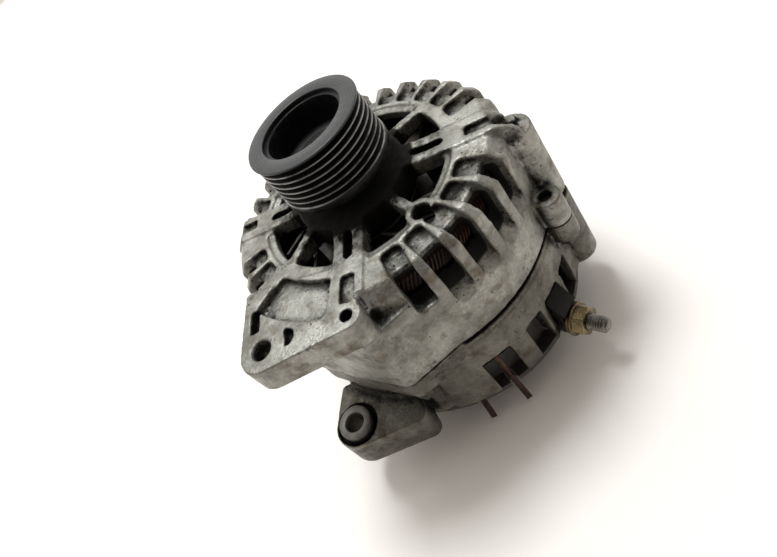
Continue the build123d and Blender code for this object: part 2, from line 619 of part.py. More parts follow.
# Plate that keeps the front bearing in its seat, on four screws
with BuildPart() as bearing_retainer:
    post((0, 0), 28.5, FRONT_BEARING_LOW - 1.8, FRONT_BEARING_LOW)
    post((0, 0), 19.5, 0, FACE_Z, mode=Mode.SUBTRACT)
    with BuildSketch(Plane.XY.offset(FRONT_BEARING_LOW - 3)):
        with PolarLocations(25.9, 4, start_angle=ARM_START):
            Circle(1.55)
    extrude(amount=5, mode=Mode.SUBTRACT)

SCREW_SPOTS = [polar(25.9, ARM_START + 90 * i) for i in range(4)]
with BuildPart() as retainer_screws:
    for at in SCREW_SPOTS:
        post(at, 2.6, FRONT_BEARING_LOW - 3.4, FRONT_BEARING_LOW - 1.8)
        post(at, 1.5, FRONT_BEARING_LOW - 2, FRONT_BEARING_LOW + 8)
with front_housing:
    for at in SCREW_SPOTS:
        post(at, 1.5 + PRESS_GAP, FRONT_BEARING_LOW - 1, FRONT_BEARING_LOW + 9, mode=Mode.SUBTRACT)

# ---------------------------------------------------------------- rotor
ROTOR_TOP = ROTOR_Z + ROTOR_L
COIL_LOW = ROTOR_Z + POLE_DISC_T
COIL_TOP = ROTOR_TOP - POLE_DISC_T
HALF_GAP = (COIL_LOW + COIL_TOP) / 2

with BuildPart() as shaft:
    turned(
        (0, 8), (5.5, 8), (6, 8.5), (6, REAR_BEARING_LOW), (REAR_BEARING[0], REAR_BEARING_LOW),
        (REAR_BEARING[0], REAR_BEARING_Z), (SHAFT_R - 0.3, REAR_BEARING_Z), (SHAFT_R - 0.3, ROTOR_Z - 2),
        (SHAFT_R, ROTOR_Z - 2), (SHAFT_R, ROTOR_TOP + 2), (FRONT_BEARING[0], ROTOR_TOP + 2),
        (FRONT_BEARING[0], FRONT_BEARING_Z - 0.6), (THREAD_R, FRONT_BEARING_Z),
        (THREAD_R, PULLEY_Z + 6), (THREAD_R - 1, PULLEY_Z + 7), (0, PULLEY_Z + 7),
    )


def claw_pole(root_z, up):
    """Pole piece: a disc with tapered claws that reach over the coil. up is +1 or -1."""
    tip_z = root_z + up * (ROTOR_L - 2)
    inner_z = root_z + up * POLE_DISC_T
    root_w = CLAW_R * sin(radians(CLAW_ROOT))
    tip_w = CLAW_R * sin(radians(CLAW_TIP))
    first = 0 if up > 0 else 180 / CLAWS
    with BuildPart() as pole:
        for i in range(CLAWS):
            with BuildSketch(outward_plane(first + i * 360 / CLAWS)) as finger:
                outline((-root_w, root_z), (root_w, root_z), (root_w, inner_z), (tip_w, tip_z),
                        (-tip_w, tip_z), (-root_w, inner_z))
            extrude(finger.sketch, amount=CLAW_R + 5)
        with BuildSketch(Plane.XZ) as band:
            outline((COIL_R - 4, root_z), (CLAW_R - 2, root_z), (CLAW_R, root_z + up * 2), (CLAW_R, tip_z),
                    (CLAW_R - 4, tip_z), (CLAW_R - 10, inner_z), (COIL_R - 4, inner_z))
        revolve(band.sketch, axis=Axis.Z, mode=Mode.INTERSECT)
        turned((SHAFT_R + PRESS_GAP, root_z), (COIL_R - 1, root_z), (COIL_R - 1, inner_z),
               (POLE_CORE_R, inner_z), (POLE_CORE_R, HALF_GAP), (SHAFT_R + PRESS_GAP, HALF_GAP))
    return pole


rear_claw_pole = claw_pole(ROTOR_Z, 1)
front_claw_pole = claw_pole(ROTOR_TOP, -1)

with BuildPart() as coil_bobbin:
    turned(
        (POLE_CORE_R + 0.1, COIL_LOW + 0.1), (COIL_R + 0.3, COIL_LOW + 0.1), (COIL_R + 0.3, COIL_LOW + 1.3),
        (POLE_CORE_R + 1.5, COIL_LOW + 1.3), (POLE_CORE_R + 1.5, COIL_TOP - 1.3),
        (COIL_R + 0.3, COIL_TOP - 1.3), (COIL_R + 0.3, COIL_TOP - 0.1), (POLE_CORE_R + 0.1, COIL_TOP - 0.1),
    )
with BuildPart() as field_coil:
    turned((POLE_CORE_R + 1.6, COIL_LOW + 1.4), (COIL_R - 0.7, COIL_LOW + 1.4), (COIL_R, COIL_LOW + 4),
           (COIL_R, COIL_TOP - 4), (COIL_R - 0.7, COIL_TOP - 1.4), (POLE_CORE_R + 1.6, COIL_TOP - 1.4))


def fan(plate_z, up):
    """Pressed fan: a plate with bent-up blades, spot welded to a pole piece."""
    low = min(plate_z, plate_z + up * FAN_PLATE_T)
    blade_low = min(plate_z, plate_z + up * (FAN_PLATE_T + FAN_H))
    with BuildPart() as wheel:
        with BuildSketch(Plane.XY.offset(low)):
            Circle(FAN_R - 5.5)
            with PolarLocations(FAN_R, FAN_BLADES):
                Rectangle(FAN_BLADE_L + 3, 7, rotation=35)
            Circle(13, mode=Mode.SUBTRACT)
        extrude(amount=FAN_PLATE_T)
        with BuildSketch(Plane.XY.offset(blade_low)):
            with PolarLocations(FAN_R, FAN_BLADES):
                Rectangle(FAN_BLADE_L, FAN_BLADE_T, rotation=35)
        extrude(amount=FAN_PLATE_T + FAN_H)
    return wheel


front_fan = fan(ROTOR_TOP, 1)
rear_fan = fan(ROTOR_Z, -1)

with BuildPart() as spacer_collar:
    turned((FRONT_BEARING[0] + PRESS_GAP, ROTOR_TOP + 2.1), (11.5, ROTOR_TOP + 2.1),
           (11.5, FRONT_BEARING_LOW), (FRONT_BEARING[0] + PRESS_GAP, FRONT_BEARING_LOW))

with BuildPart() as slip_ring_carrier:
    turned((6 + PRESS_GAP, 9), (8, 9), (8, REAR_BEARING_LOW - 0.5), (6 + PRESS_GAP, REAR_BEARING_LOW - 0.5))
    for middle in RING_Z:
        turned((6.8, middle - RING_W / 2), (9, middle - RING_W / 2), (9, middle + RING_W / 2),
               (6.8, middle + RING_W / 2), mode=Mode.SUBTRACT)
with BuildPart() as slip_rings:
    for middle in RING_Z:
        turned((6.8, middle - RING_W / 2), (RING_OUT, middle - RING_W / 2), (RING_OUT, middle + RING_W / 2),
               (6.8, middle + RING_W / 2))

# ---------------------------------------------------------------- pulley
# Ring with V grooves. A roller clutch lets it overrun the hub, which screws on the shaft.
PULLEY_TOP = PULLEY_Z + PULLEY_W
HUB_TOP = PULLEY_TOP - HUB_FACE
ROLLER_R = (PULLEY_BORE - HUB_SLEEVE_R) / 2 - RUN_GAP
ROLLER_CIRCLE = (PULLEY_BORE + HUB_SLEEVE_R) / 2
half_top = RIB_PITCH / 2 - 0.35
half_root = half_top - GROOVE_D * tan(radians(20))

ring_profile = [(CAP_R, PULLEY_TOP), (PULLEY_R - 0.4, PULLEY_TOP), (PULLEY_R, PULLEY_TOP - 0.4),
                (PULLEY_R, PULLEY_TOP - FIRST_GROOVE + half_top + 0.4)]
for i in range(GROOVES):
    middle = PULLEY_TOP - FIRST_GROOVE - i * RIB_PITCH
    ring_profile += [(CREST_R, middle + half_top), (CREST_R - GROOVE_D, middle + half_root),
                     (CREST_R - GROOVE_D, middle - half_root), (CREST_R, middle - half_top)]
ring_profile += [(REAR_LAND_R, middle - half_top - 0.8), (REAR_LAND_R, PULLEY_Z + 1.5),
                 (REAR_LAND_R - 1.5, PULLEY_Z), (PULLEY_BORE, PULLEY_Z), (PULLEY_BORE, PULLEY_TOP - CAP_D),
                 (CAP_R, PULLEY_TOP - CAP_D)]
with BuildPart() as pulley_ring:
    turned(*ring_profile)

with BuildPart() as pulley_hub:
    turned(
        (THREAD_R + PRESS_GAP, FRONT_BEARING_Z), (12, FRONT_BEARING_Z), (14.5, FACE_Z + HUB_PROUD + 0.8),
        (18.5, FACE_Z + HUB_PROUD + 0.8), (18.5, PULLEY_Z + 1.2), (HUB_SLEEVE_R, PULLEY_Z + 1.2),
        (HUB_SLEEVE_R, HUB_TOP - 0.5), (HUB_SLEEVE_R - 0.5, HUB_TOP), (8.6, HUB_TOP),
        (8.6, PULLEY_Z + 7.5), (THREAD_R + PRESS_GAP, PULLEY_Z + 7.5),
    )
    # splines for the fitting tool
    with BuildSketch(Plane.XY.offset(PULLEY_Z + 8)):
        with PolarLocations(8.8, 12):
            Rectangle(1.6, 1.6)
    extrude(amount=HUB_TOP - PULLEY_Z, mode=Mode.SUBTRACT)
ROLLER_Z = PULLEY_Z + 2.4
with BuildPart() as clutch_rollers:
    with BuildSketch(Plane.XY.offset(ROLLER_Z)):
        with PolarLocations(ROLLER_CIRCLE, ROLLERS):
            Circle(ROLLER_R)
    extrude(amount=ROLLER_L)
with BuildPart() as clutch_cage:
    with BuildSketch(Plane.XY.offset(ROLLER_Z - 0.9)):
        Circle(PULLEY_BORE - 0.5)
        Circle(HUB_SLEEVE_R + PRESS_GAP, mode=Mode.SUBTRACT)
    extrude(amount=ROLLER_L + 1.4)
    with BuildSketch(Plane.XY.offset(ROLLER_Z - 0.2)):
        with PolarLocations(ROLLER_CIRCLE, ROLLERS):
            Circle(ROLLER_R + 0.02)
    extrude(amount=ROLLER_L + 2, mode=Mode.SUBTRACT)
with BuildPart() as pulley_seal:
    turned((HUB_SLEEVE_R + 0.15, HUB_TOP - 1.7), (PULLEY_BORE, HUB_TOP - 1.7), (PULLEY_BORE, HUB_TOP - 0.2),
           (HUB_SLEEVE_R + 0.15, HUB_TOP - 0.2))

# ---------------------------------------------------------------- rear electrics
NEGATIVE_LOW = END_WALL_Z - END_WALL_T - SINK_T
POSITIVE_TOP = NEGATIVE_LOW - RING_T
POSITIVE_LOW = POSITIVE_TOP - SINK_T


def crescent(low, thick):
    """Crescent round the slip rings, with room for the cover's post, in the open part."""
    with BuildSketch(Plane.XY.offset(low)) as face:
        arc_band(PLATE_IN, PLATE_OUT, *PLATE_SPAN)
    extrude(face.sketch, amount=thick)
    post(POSTS[3], POST_R + 0.6, low - 1, low + thick + 1, mode=Mode.SUBTRACT)


with BuildPart() as negative_plate:
    crescent(NEGATIVE_LOW, SINK_T)
    for angle in NEGATIVE_DIODES:
        post(polar(DIODE_CIRCLE, angle), DIODE_R + PRESS_GAP, 0, 60, mode=Mode.SUBTRACT)
with BuildPart() as terminal_ring:
    crescent(POSITIVE_TOP, RING_T)
    for angle in NEGATIVE_DIODES + POSITIVE_DIODES:
        post(polar(DIODE_CIRCLE, angle), DIODE_R + 0.4, 0, 60, mode=Mode.SUBTRACT)
with BuildPart() as positive_plate:
    crescent(POSITIVE_LOW, SINK_T)
    radial_box(STUD_ANGLE, PLATE_OUT - 5, LUG_R, STUD_Z - 4.8, POSITIVE_TOP, 13)
    for angle in POSITIVE_DIODES:
        post(polar(DIODE_CIRCLE, angle), DIODE_R + PRESS_GAP, 0, 60, mode=Mode.SUBTRACT)
    with BuildSketch(outward_plane(STUD_ANGLE, PLATE_OUT - 5)):
        with Locations((0, STUD_Z)):
            Circle(STUD_R + PRESS_GAP)
    extrude(amount=30, mode=Mode.SUBTRACT)
with BuildPart() as negative_diodes:
    for angle in NEGATIVE_DIODES:
        at = polar(DIODE_CIRCLE, angle)
        post(at, DIODE_R, NEGATIVE_LOW + SINK_T - DIODE_H, NEGATIVE_LOW + SINK_T)
        post(at, 0.7, POSITIVE_TOP + 0.4, NEGATIVE_LOW)
with BuildPart() as positive_diodes:
    for angle in POSITIVE_DIODES:
        at = polar(DIODE_CIRCLE, angle)
        post(at, DIODE_R, POSITIVE_LOW, POSITIVE_LOW + DIODE_H)
        post(at, 0.7, POSITIVE_LOW + 1, NEGATIVE_LOW - 0.4)

# Slip-ring brushes in their holder, with the regulator beside it
GUIDE_W = BRUSH[0] + 2 * RUN_GAP
GUIDE_H = BRUSH[1] + 2 * RUN_GAP
SPRING_END = HOLDER_OUT - 2
BRUSH_TAIL = RING_OUT + RUN_GAP + BRUSH[2]


def brush(middle):
    """Carbon brush, hollowed at its tip to the slip ring."""
    with BuildPart() as carbon:
        with BuildSketch(Plane.XZ.offset(-(RING_OUT - 2))):
            with Locations((0, middle)):
                Rectangle(BRUSH[0], BRUSH[1])
        extrude(amount=-(BRUSH_TAIL - RING_OUT + 2))
        post((0, 0), RING_OUT + RUN_GAP, 0, 40, mode=Mode.SUBTRACT)
    return carbon


def brush_spring(middle):
    """Compression spring behind a brush, wound along +Y."""
    length = SPRING_END - BRUSH_TAIL
    wire = 0.4
    turns = 5
    with BuildPart() as coil:
        with BuildLine() as path:
            Helix(pitch=(length - 2 * wire) / turns, height=length - 2 * wire, radius=1.6,
                  center=(0, BRUSH_TAIL + wire, middle), direction=(0, 1, 0))
        with BuildSketch(Plane(origin=path.line @ 0, z_dir=path.line % 0)):
            RegularPolygon(wire, 4)
        sweep(is_frenet=True)
    return coil


lower_brush = brush(RING_Z[0])
upper_brush = brush(RING_Z[1])
lower_brush_spring = brush_spring(RING_Z[0])
upper_brush_spring = brush_spring(RING_Z[1])

HOLDER_LOW = 7.0
HOLDER_TOP = 28.5
REG_SCREW = (-30.0, 22.0)
REG_SCREW_TOP = END_WALL_Z - END_WALL_T - 5.5
EAR_SCREW = (14.5, 30.0)
EAR_LOW = 18.0
EAR_TOP = 22.0
with BuildPart() as brush_holder:
    with BuildSketch(Plane.XY.offset(HOLDER_LOW)):
        with Locations((0, (HOLDER_IN + HOLDER_OUT) / 2)):
            Rectangle(19, HOLDER_OUT - HOLDER_IN)
    extrude(amount=HOLDER_TOP - HOLDER_LOW)
    with BuildSketch(Plane.XY.offset(EAR_LOW)):
        with Locations((13, EAR_SCREW[1])):
            Rectangle(12, 9)
    extrude(amount=EAR_TOP - EAR_LOW)
    post(EAR_SCREW, 2.0 + PRESS_GAP, 0, 60, mode=Mode.SUBTRACT)
    for middle in RING_Z:
        with BuildSketch(Plane.XZ.offset(-(HOLDER_IN - 1))):
            with Locations((0, middle)):
                Rectangle(GUIDE_W, GUIDE_H)
        extrude(amount=-(SPRING_END - HOLDER_IN + 1), mode=Mode.SUBTRACT)

REG_X = (-42.0, -9.5)
REG_Y = (6.0, 36.0)
REG_Z = (8.0, 21.0)
SOCKET_X = -(COVER_R + 6)
SOCKET_Y = (10.0, 30.0)
with BuildPart() as voltage_regulator:
    with BuildSketch(Plane.XY.offset(REG_Z[0])):
        with Locations(((REG_X[0] + REG_X[1]) / 2, (REG_Y[0] + REG_Y[1]) / 2)):
            Rectangle(REG_X[1] - REG_X[0], REG_Y[1] - REG_Y[0])
    extrude(amount=REG_Z[1] - REG_Z[0])
    # plug socket, open at its far end
    with BuildSketch(Plane.YZ.offset(SOCKET_X)):
        with Locations(((SOCKET_Y[0] + SOCKET_Y[1]) / 2, (REG_Z[0] + REG_Z[1]) / 2)):
            RectangleRounded(SOCKET_Y[1] - SOCKET_Y[0], REG_Z[1] - REG_Z[0] - 1, 2)
    extrude(amount=REG_X[0] - SOCKET_X + 1)
    with BuildSketch(Plane.YZ.offset(SOCKET_X - 1)):
        with Locations(((SOCKET_Y[0] + SOCKET_Y[1]) / 2, (REG_Z[0] + REG_Z[1]) / 2)):
            RectangleRounded(SOCKET_Y[1] - SOCKET_Y[0] - 3, REG_Z[1] - REG_Z[0] - 4, 1)
    extrude(amount=REG_X[0] - SOCKET_X - 2, mode=Mode.SUBTRACT)
    for offset in (-5, 0, 5):
        with BuildSketch(Plane.YZ.offset(SOCKET_X + 10)):
            with Locations(((SOCKET_Y[0] + SOCKET_Y[1]) / 2 + offset, (REG_Z[0] + REG_Z[1]) / 2)):
                Rectangle(0.8 + 2 * PRESS_GAP, 2.4 + 2 * PRESS_GAP)
        extrude(amount=24, mode=Mode.SUBTRACT)
    post(REG_SCREW, 2.0 + PRESS_GAP, 0, 60, mode=Mode.SUBTRACT)
with BuildPart() as regulator_pins:
    for offset in (-5, 0, 5):
        with BuildSketch(Plane.YZ.offset(SOCKET_X + 10)):
            with Locations(((SOCKET_Y[0] + SOCKET_Y[1]) / 2 + offset, (REG_Z[0] + REG_Z[1]) / 2)):
                Rectangle(0.8, 2.4)
        extrude(amount=24)

# Screws of the regulator and the brush holder, in posts of the rear bracket
with rear_housing:
    for at, low in ((REG_SCREW, REG_Z[1]), (EAR_SCREW, EAR_TOP)):
        post(at, 4, low, END_WALL_Z - END_WALL_T / 2)
        post(at, 2 + PRESS_GAP, 0, REG_SCREW_TOP + 0.5, mode=Mode.SUBTRACT)
with BuildPart() as regulator_screws:
    for at, seat in ((REG_SCREW, REG_Z[0]), (EAR_SCREW, EAR_LOW)):
        post(at, 2, seat, REG_SCREW_TOP)
        post(at, 3.6, seat - 2.4, seat)

# ---------------------------------------------------------------- battery terminal
with BuildPart() as b_plus_stud:
    with BuildSketch(outward_plane(STUD_ANGLE, PLATE_OUT - 4.7)):
        with Locations((0, STUD_Z)):
            Circle(STUD_R)
    extrude(amount=STUD_TIP - PLATE_OUT + 4.7)
    with BuildSketch(outward_plane(STUD_ANGLE, INSULATOR_R + WASHER_T)):
        with Locations((0, STUD_Z)):
            Circle(STUD_R + 1)
            Circle(THREAD_PITCH_R, mode=Mode.SUBTRACT)
    extrude(amount=NUT_H + 0.3, mode=Mode.SUBTRACT)
    chamfer(b_plus_stud.faces().sort_by(Axis((0, 0, 0), (*polar(1, STUD_ANGLE), 0)))[-1].edges(), 0.8)
with BuildPart() as b_plus_insulator:
    with BuildSketch(radial_plane(STUD_ANGLE)):
        outline((LUG_R, TAB_END - 0.2), (INSULATOR_R, TAB_END - 2), (INSULATOR_R, STUD_Z + 8.4),
                (INSULATOR_R + 2, STUD_Z + 10), (INSULATOR_R - 3.5, TAB_TOP - 0.6), (LUG_R, TAB_TOP - 0.6))
    extrude(amount=INSULATOR_W / 2, both=True)
    with BuildSketch(outward_plane(STUD_ANGLE, LUG_R - 1)):
        with Locations((0, STUD_Z)):
            Circle(STUD_R + 0.2)
    extrude(amount=20, mode=Mode.SUBTRACT)
with BuildPart() as b_plus_washer:
    with BuildSketch(outward_plane(STUD_ANGLE, INSULATOR_R)):
        with Locations((0, STUD_Z)):
            Circle(8)
            Circle(STUD_R + 0.2, mode=Mode.SUBTRACT)
    extrude(amount=WASHER_T)
with BuildPart() as b_plus_nut:
    with BuildSketch(outward_plane(STUD_ANGLE, INSULATOR_R + WASHER_T)):
        with Locations((0, STUD_Z)):
            RegularPolygon(NUT_AF / 2, 6, major_radius=False)
    extrude(amount=NUT_H)
    with BuildSketch(outward_plane(STUD_ANGLE, INSULATOR_R + WASHER_T)):
        with Locations((0, STUD_Z)):
            Circle(NUT_FLANGE_R)
    extrude(amount=NUT_FLANGE_T)
    with BuildSketch(outward_plane(STUD_ANGLE, INSULATOR_R)):
        with Locations((0, STUD_Z)):
            Circle(THREAD_PITCH_R + PRESS_GAP)
    extrude(amount=20, mode=Mode.SUBTRACT)

# ---------------------------------------------------------------- rear cover
WELL_R = 7.0
WELL_D = 6.0
with BuildPart() as rear_cover:
    turned(
        (0, 0), (COVER_R - 2, 0), (COVER_R, 2), (COVER_R, CUP_H), (COVER_RIM_R, CUP_H),
        (COVER_RIM_R, CUP_H + RIM_T), (SKIRT_R, CUP_H + RIM_T), (SKIRT_R, CUP_H + RIM_T + SKIRT_H),
        (SKIRT_R - 2.2, CUP_H + RIM_T + SKIRT_H), (SKIRT_R - 2.2, CUP_H + RIM_T),
        (COVER_R - COVER_WALL, CUP_H + RIM_T), (COVER_R - COVER_WALL, COVER_WALL), (0, COVER_WALL),
    )
    for at in POSTS:
        post(at, WELL_R + 1.6, COVER_WALL - 0.5, WELL_D + 2)
    for at in POSTS:
        post(at, WELL_R, -1, WELL_D, mode=Mode.SUBTRACT)
        post(at, 2.7, -1, 12, mode=Mode.SUBTRACT)
    # air slots
    with BuildSketch(Plane.XY.offset(-1)):
        with PolarLocations(31, 20):
            SlotOverall(14, 3)
        for start in (222, 288, 42, 122):
            with PolarLocations(49.5, 5, start_angle=start, angular_range=28, endpoint=True):
                SlotOverall(12, 3)
    extrude(amount=COVER_WALL + 2, mode=Mode.SUBTRACT)
    # ways out for the leads, the battery stud and the plug socket
    for angle in LEAD_ANGLES:
        radial_box(angle, SKIRT_R + 0.1, COVER_RIM_R + 2, CUP_H - 1, CUP_H + RIM_T + 1, LEAD_W + 1.6,
                   mode=Mode.SUBTRACT)
    radial_box(STUD_ANGLE, COVER_R - 10, COVER_RIM_R + 6, CUP_H - 2, 60, 15, mode=Mode.SUBTRACT)
    radial_box(STUD_ANGLE, COVER_R - 10, PLATE_OUT + 0.2, 10, CUP_H, 15, mode=Mode.SUBTRACT)
    post(LONG_BOSS, LONG_BORE_R + 1.5, CUP_H - 1, CUP_H + RIM_T + 1, mode=Mode.SUBTRACT)
    with BuildSketch(Plane.YZ.offset(-COVER_RIM_R - 2)):
        with Locations(((SOCKET_Y[0] + SOCKET_Y[1]) / 2, (REG_Z[0] + REG_Z[1]) / 2)):
            Rectangle(SOCKET_Y[1] - SOCKET_Y[0] + 1, REG_Z[1] - REG_Z[0])
    extrude(amount=30, mode=Mode.SUBTRACT)
with BuildPart() as cover_nuts:
    for at in POSTS:
        with BuildSketch(Plane.XY.offset(WELL_D - 4)):
            with Locations(at):
                RegularPolygon(4.6, 6)
                Circle(2.5 + PRESS_GAP, mode=Mode.SUBTRACT)
        extrude(amount=4)

# ---------------------------------------------------------------- files
BEARING_NAMES = ("inner_ring", "outer_ring", "balls", "cage", "seals")
pieces = {
    "front_housing": front_housing, "rear_housing": rear_housing, "through_bolts": through_bolts,
    "foot_bush": foot_bush, "stator_core": stator_core, "stator_winding": stator_winding,
    "stator_leads": stator_leads, "bearing_retainer": bearing_retainer, "retainer_screws": retainer_screws,
    "shaft": shaft, "rear_claw_pole": rear_claw_pole, "front_claw_pole": front_claw_pole,
    "coil_bobbin": coil_bobbin, "field_coil": field_coil, "front_fan": front_fan, "rear_fan": rear_fan,
    "spacer_collar": spacer_collar, "slip_ring_carrier": slip_ring_carrier, "slip_rings": slip_rings,
    "pulley_ring": pulley_ring, "pulley_hub": pulley_hub, "clutch_rollers": clutch_rollers,
    "clutch_cage": clutch_cage, "pulley_seal": pulley_seal, "negative_plate": negative_plate,
    "positive_plate": positive_plate, "terminal_ring": terminal_ring, "negative_diodes": negative_diodes,
    "positive_diodes": positive_diodes, "brush_holder": brush_holder, "upper_brush": upper_brush,
    "lower_brush": lower_brush, "upper_brush_spring": upper_brush_spring,
    "lower_brush_spring": lower_brush_spring, "voltage_regulator": voltage_regulator,
    "regulator_pins": regulator_pins, "regulator_screws": regulator_screws, "b_plus_stud": b_plus_stud,
    "b_plus_insulator": b_plus_insulator, "b_plus_washer": b_plus_washer, "b_plus_nut": b_plus_nut,
    "rear_cover": rear_cover, "cover_nuts": cover_nuts,
}
for name, piece in zip(BEARING_NAMES, front_set):
    pieces[f"front_bearing_{name}"] = piece
for name, piece in zip(BEARING_NAMES, rear_set):
    pieces[f"rear_bearing_{name}"] = piece

os.makedirs("parts", exist_ok=True)
for name, piece in pieces.items():
    piece.part.label = name
    export_step(piece.part, f"parts/{name}.step")
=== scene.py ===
"""The looks of a car alternator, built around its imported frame: worn castings, black pulley, copper."""

import math

import bmesh
import bpy
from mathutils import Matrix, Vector


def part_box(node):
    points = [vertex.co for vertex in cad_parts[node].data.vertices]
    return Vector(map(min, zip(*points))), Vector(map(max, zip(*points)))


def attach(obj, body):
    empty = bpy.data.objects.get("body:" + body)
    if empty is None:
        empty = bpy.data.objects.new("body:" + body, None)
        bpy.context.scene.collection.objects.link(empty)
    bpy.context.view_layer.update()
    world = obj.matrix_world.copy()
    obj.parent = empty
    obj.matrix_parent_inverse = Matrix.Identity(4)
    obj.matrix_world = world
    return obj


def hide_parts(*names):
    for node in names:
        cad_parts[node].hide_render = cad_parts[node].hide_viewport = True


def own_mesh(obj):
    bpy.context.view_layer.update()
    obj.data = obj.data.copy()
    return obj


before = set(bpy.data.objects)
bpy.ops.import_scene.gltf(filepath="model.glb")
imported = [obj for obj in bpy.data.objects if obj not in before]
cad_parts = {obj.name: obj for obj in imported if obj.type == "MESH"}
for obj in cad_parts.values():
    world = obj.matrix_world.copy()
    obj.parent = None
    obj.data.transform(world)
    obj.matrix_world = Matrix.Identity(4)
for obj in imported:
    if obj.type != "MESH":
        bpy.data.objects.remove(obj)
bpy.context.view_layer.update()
MM = 0.001
scene = bpy.context.scene

# ---------------------------------------------------------------- studio
# A pale floor under the machine, a lamp high above and behind it, and a wide panel that lights
# the floor further back. The room is bright behind the machine and dark on the camera's side.
# The camera stands over the pulley end, rolled to the left.
CAMERA_AT = (-0.0413, -0.2508, 0.2952)
CAMERA_TURN = (45.39, 36.77, -29.59)    # degrees
CAMERA_LENS = 28.48
CAMERA_SHIFT = (0.1344, -0.0409)
ROOM_DARK_SIDE = (-0.15, -0.85, 0.50)
ROOM_BRIGHT = (1.0, 0.98, 0.945)
ROOM_DARK = (0.12, 0.095, 0.075)
ROOM_FADE = (0.1, 0.85)                 # where the dark begins, and where it is full
ROOM_STRENGTH = 1.05
FLOOR_HALF = 9
FLOOR_COLOUR = (0.98, 0.945, 0.90)
FLOOR_ROUGH = 0.9


def shader_node(tree, kind, inputs=None, **settings):
    """Add a node, set its settings, and fill or link its inputs."""
    made = tree.nodes.new(kind)
    for key, value in settings.items():
        setattr(made, key, value)
    for key, value in (inputs or {}).items():
        if isinstance(value, bpy.types.NodeSocket):
            tree.links.new(value, made.inputs[key])
        else:
            made.inputs[key].default_value = value
    return made


def mixed(tree, share, below, above, how="MIX"):
    """Colour mix of two colours or colour sockets."""
    mix = tree.nodes.new("ShaderNodeMix")
    mix.data_type = "RGBA"
    mix.blend_type = how
    for socket, value in ((mix.inputs[0], share), (mix.inputs[6], below), (mix.inputs[7], above)):
        if isinstance(value, bpy.types.NodeSocket):
            tree.links.new(value, socket)
        elif isinstance(value, float):
            socket.default_value = value
        else:
            socket.default_value = (*value, 1)
    return mix.outputs[2]


def ramp(tree, value, low, high):
    """A number socket stretched so that low to high becomes 0 to 1, also downhill."""
    stretched = shader_node(tree, "ShaderNodeMapRange", {"Value": value, "From Min": low, "From Max": high})
    return stretched.outputs["Result"]


camera = bpy.data.objects.new("camera", bpy.data.cameras.new("camera"))
scene.collection.objects.link(camera)
scene.camera = camera
camera.location = CAMERA_AT
camera.rotation_euler = [math.radians(angle) for angle in CAMERA_TURN]
camera.data.lens = CAMERA_LENS
camera.data.shift_x, camera.data.shift_y = CAMERA_SHIFT
camera.data.clip_start = 0.01

scene.view_settings.view_transform = "Standard"
world = bpy.data.worlds.new("world")
scene.world = world
world.use_nodes = True
sky = world.node_tree
looking = shader_node(sky, "ShaderNodeTexCoord").outputs["Generated"]
toward = shader_node(sky, "ShaderNodeVectorMath", {0: looking, 1: ROOM_DARK_SIDE}, operation="DOT_PRODUCT")
room = mixed(sky, ramp(sky, toward.outputs["Value"], *ROOM_FADE), ROOM_BRIGHT, ROOM_DARK)
sky.links.new(room, sky.nodes["Background"].inputs["Color"])
sky.nodes["Background"].inputs["Strength"].default_value = ROOM_STRENGTH


def area_light(name, at, aim, size, watts, colour, spread=180):
    """A square soft light that faces a point. spread is in degrees."""
    lamp = bpy.data.lights.new(name, "AREA")
    lamp.size = size
    lamp.spread = math.radians(spread)
    lamp.energy = watts
    lamp.color = colour
    holder = bpy.data.objects.new(name, lamp)
    scene.collection.objects.link(holder)
    holder.location = at
    holder.rotation_euler = (Vector(aim) - Vector(at)).to_track_quat("-Z", "Y").to_euler()


area_light("key", at=(0.10, 0.34, 1.30), aim=(0, 0, 0.06), size=0.40, watts=13.0, colour=(0.95, 0.98, 1.0))
area_light("backdrop", at=(-0.4, 3.0, 2.2), aim=(-0.35, 3.01, 0), size=2.6, watts=110.0, colour=(1, 1, 1),
           spread=70)

floor_corners = [(-FLOOR_HALF, -FLOOR_HALF, 0), (FLOOR_HALF, -FLOOR_HALF, 0), (FLOOR_HALF, FLOOR_HALF, 0),
                 (-FLOOR_HALF, FLOOR_HALF, 0)]
floor_mesh = bpy.data.meshes.new("floor")
floor_mesh.from_pydata(floor_corners, [], [(0, 1, 2, 3)])
floor = bpy.data.objects.new("floor", floor_mesh)
scene.collection.objects.link(floor)
floor_paint = bpy.data.materials.new("floor")
floor_paint.use_nodes = True
floor_shader = floor_paint.node_tree.nodes["Principled BSDF"]
floor_shader.inputs["Base Color"].default_value = (*FLOOR_COLOUR, 1)
floor_shader.inputs["Roughness"].default_value = FLOOR_ROUGH
floor_mesh.materials.append(floor_paint)

# ---------------------------------------------------------------- front bracket
# Die-cast aluminium, never machined outside: soft edges, a sandy skin, tan stains, and oily
# dust packed into its slots. Painted shade darkens its hollows, deepens under the pulley to a
# solid dark hub, and fills its inner walls.
CAST_LIGHT = (0.41, 0.405, 0.375)
CAST_DULL = (0.15, 0.146, 0.13)
CAST_STAIN = (0.125, 0.10, 0.072)
CAST_EDGE = (0.62, 0.61, 0.57)
CAST_RUST = (0.20, 0.125, 0.07)
# The near-black below is used both for dust and for painted shade.
CAST_GRIME_AND_SHADE = (0.0045, 0.004, 0.003)
CAST_ROUGH = (0.34, 0.56)
CAST_VOXEL = 0.8 * MM
CAST_SPECULAR = 0.25
INNER_WALL_R = 70.5 * MM
SHADE_FADE_REACH = 56 * MM                    # painted shade under the pulley thins out from the hub as far as this
WELD = 0.005 * MM


def new_material(name):
    """A bare material: its tree, its shader and its Object coordinates."""
    material = bpy.data.materials.new(name)
    material.use_nodes = True
    tree = material.node_tree
    shader = tree.nodes["Principled BSDF"]
    place = shader_node(tree, "ShaderNodeTexCoord").outputs["Object"]
    return material, tree, shader, place


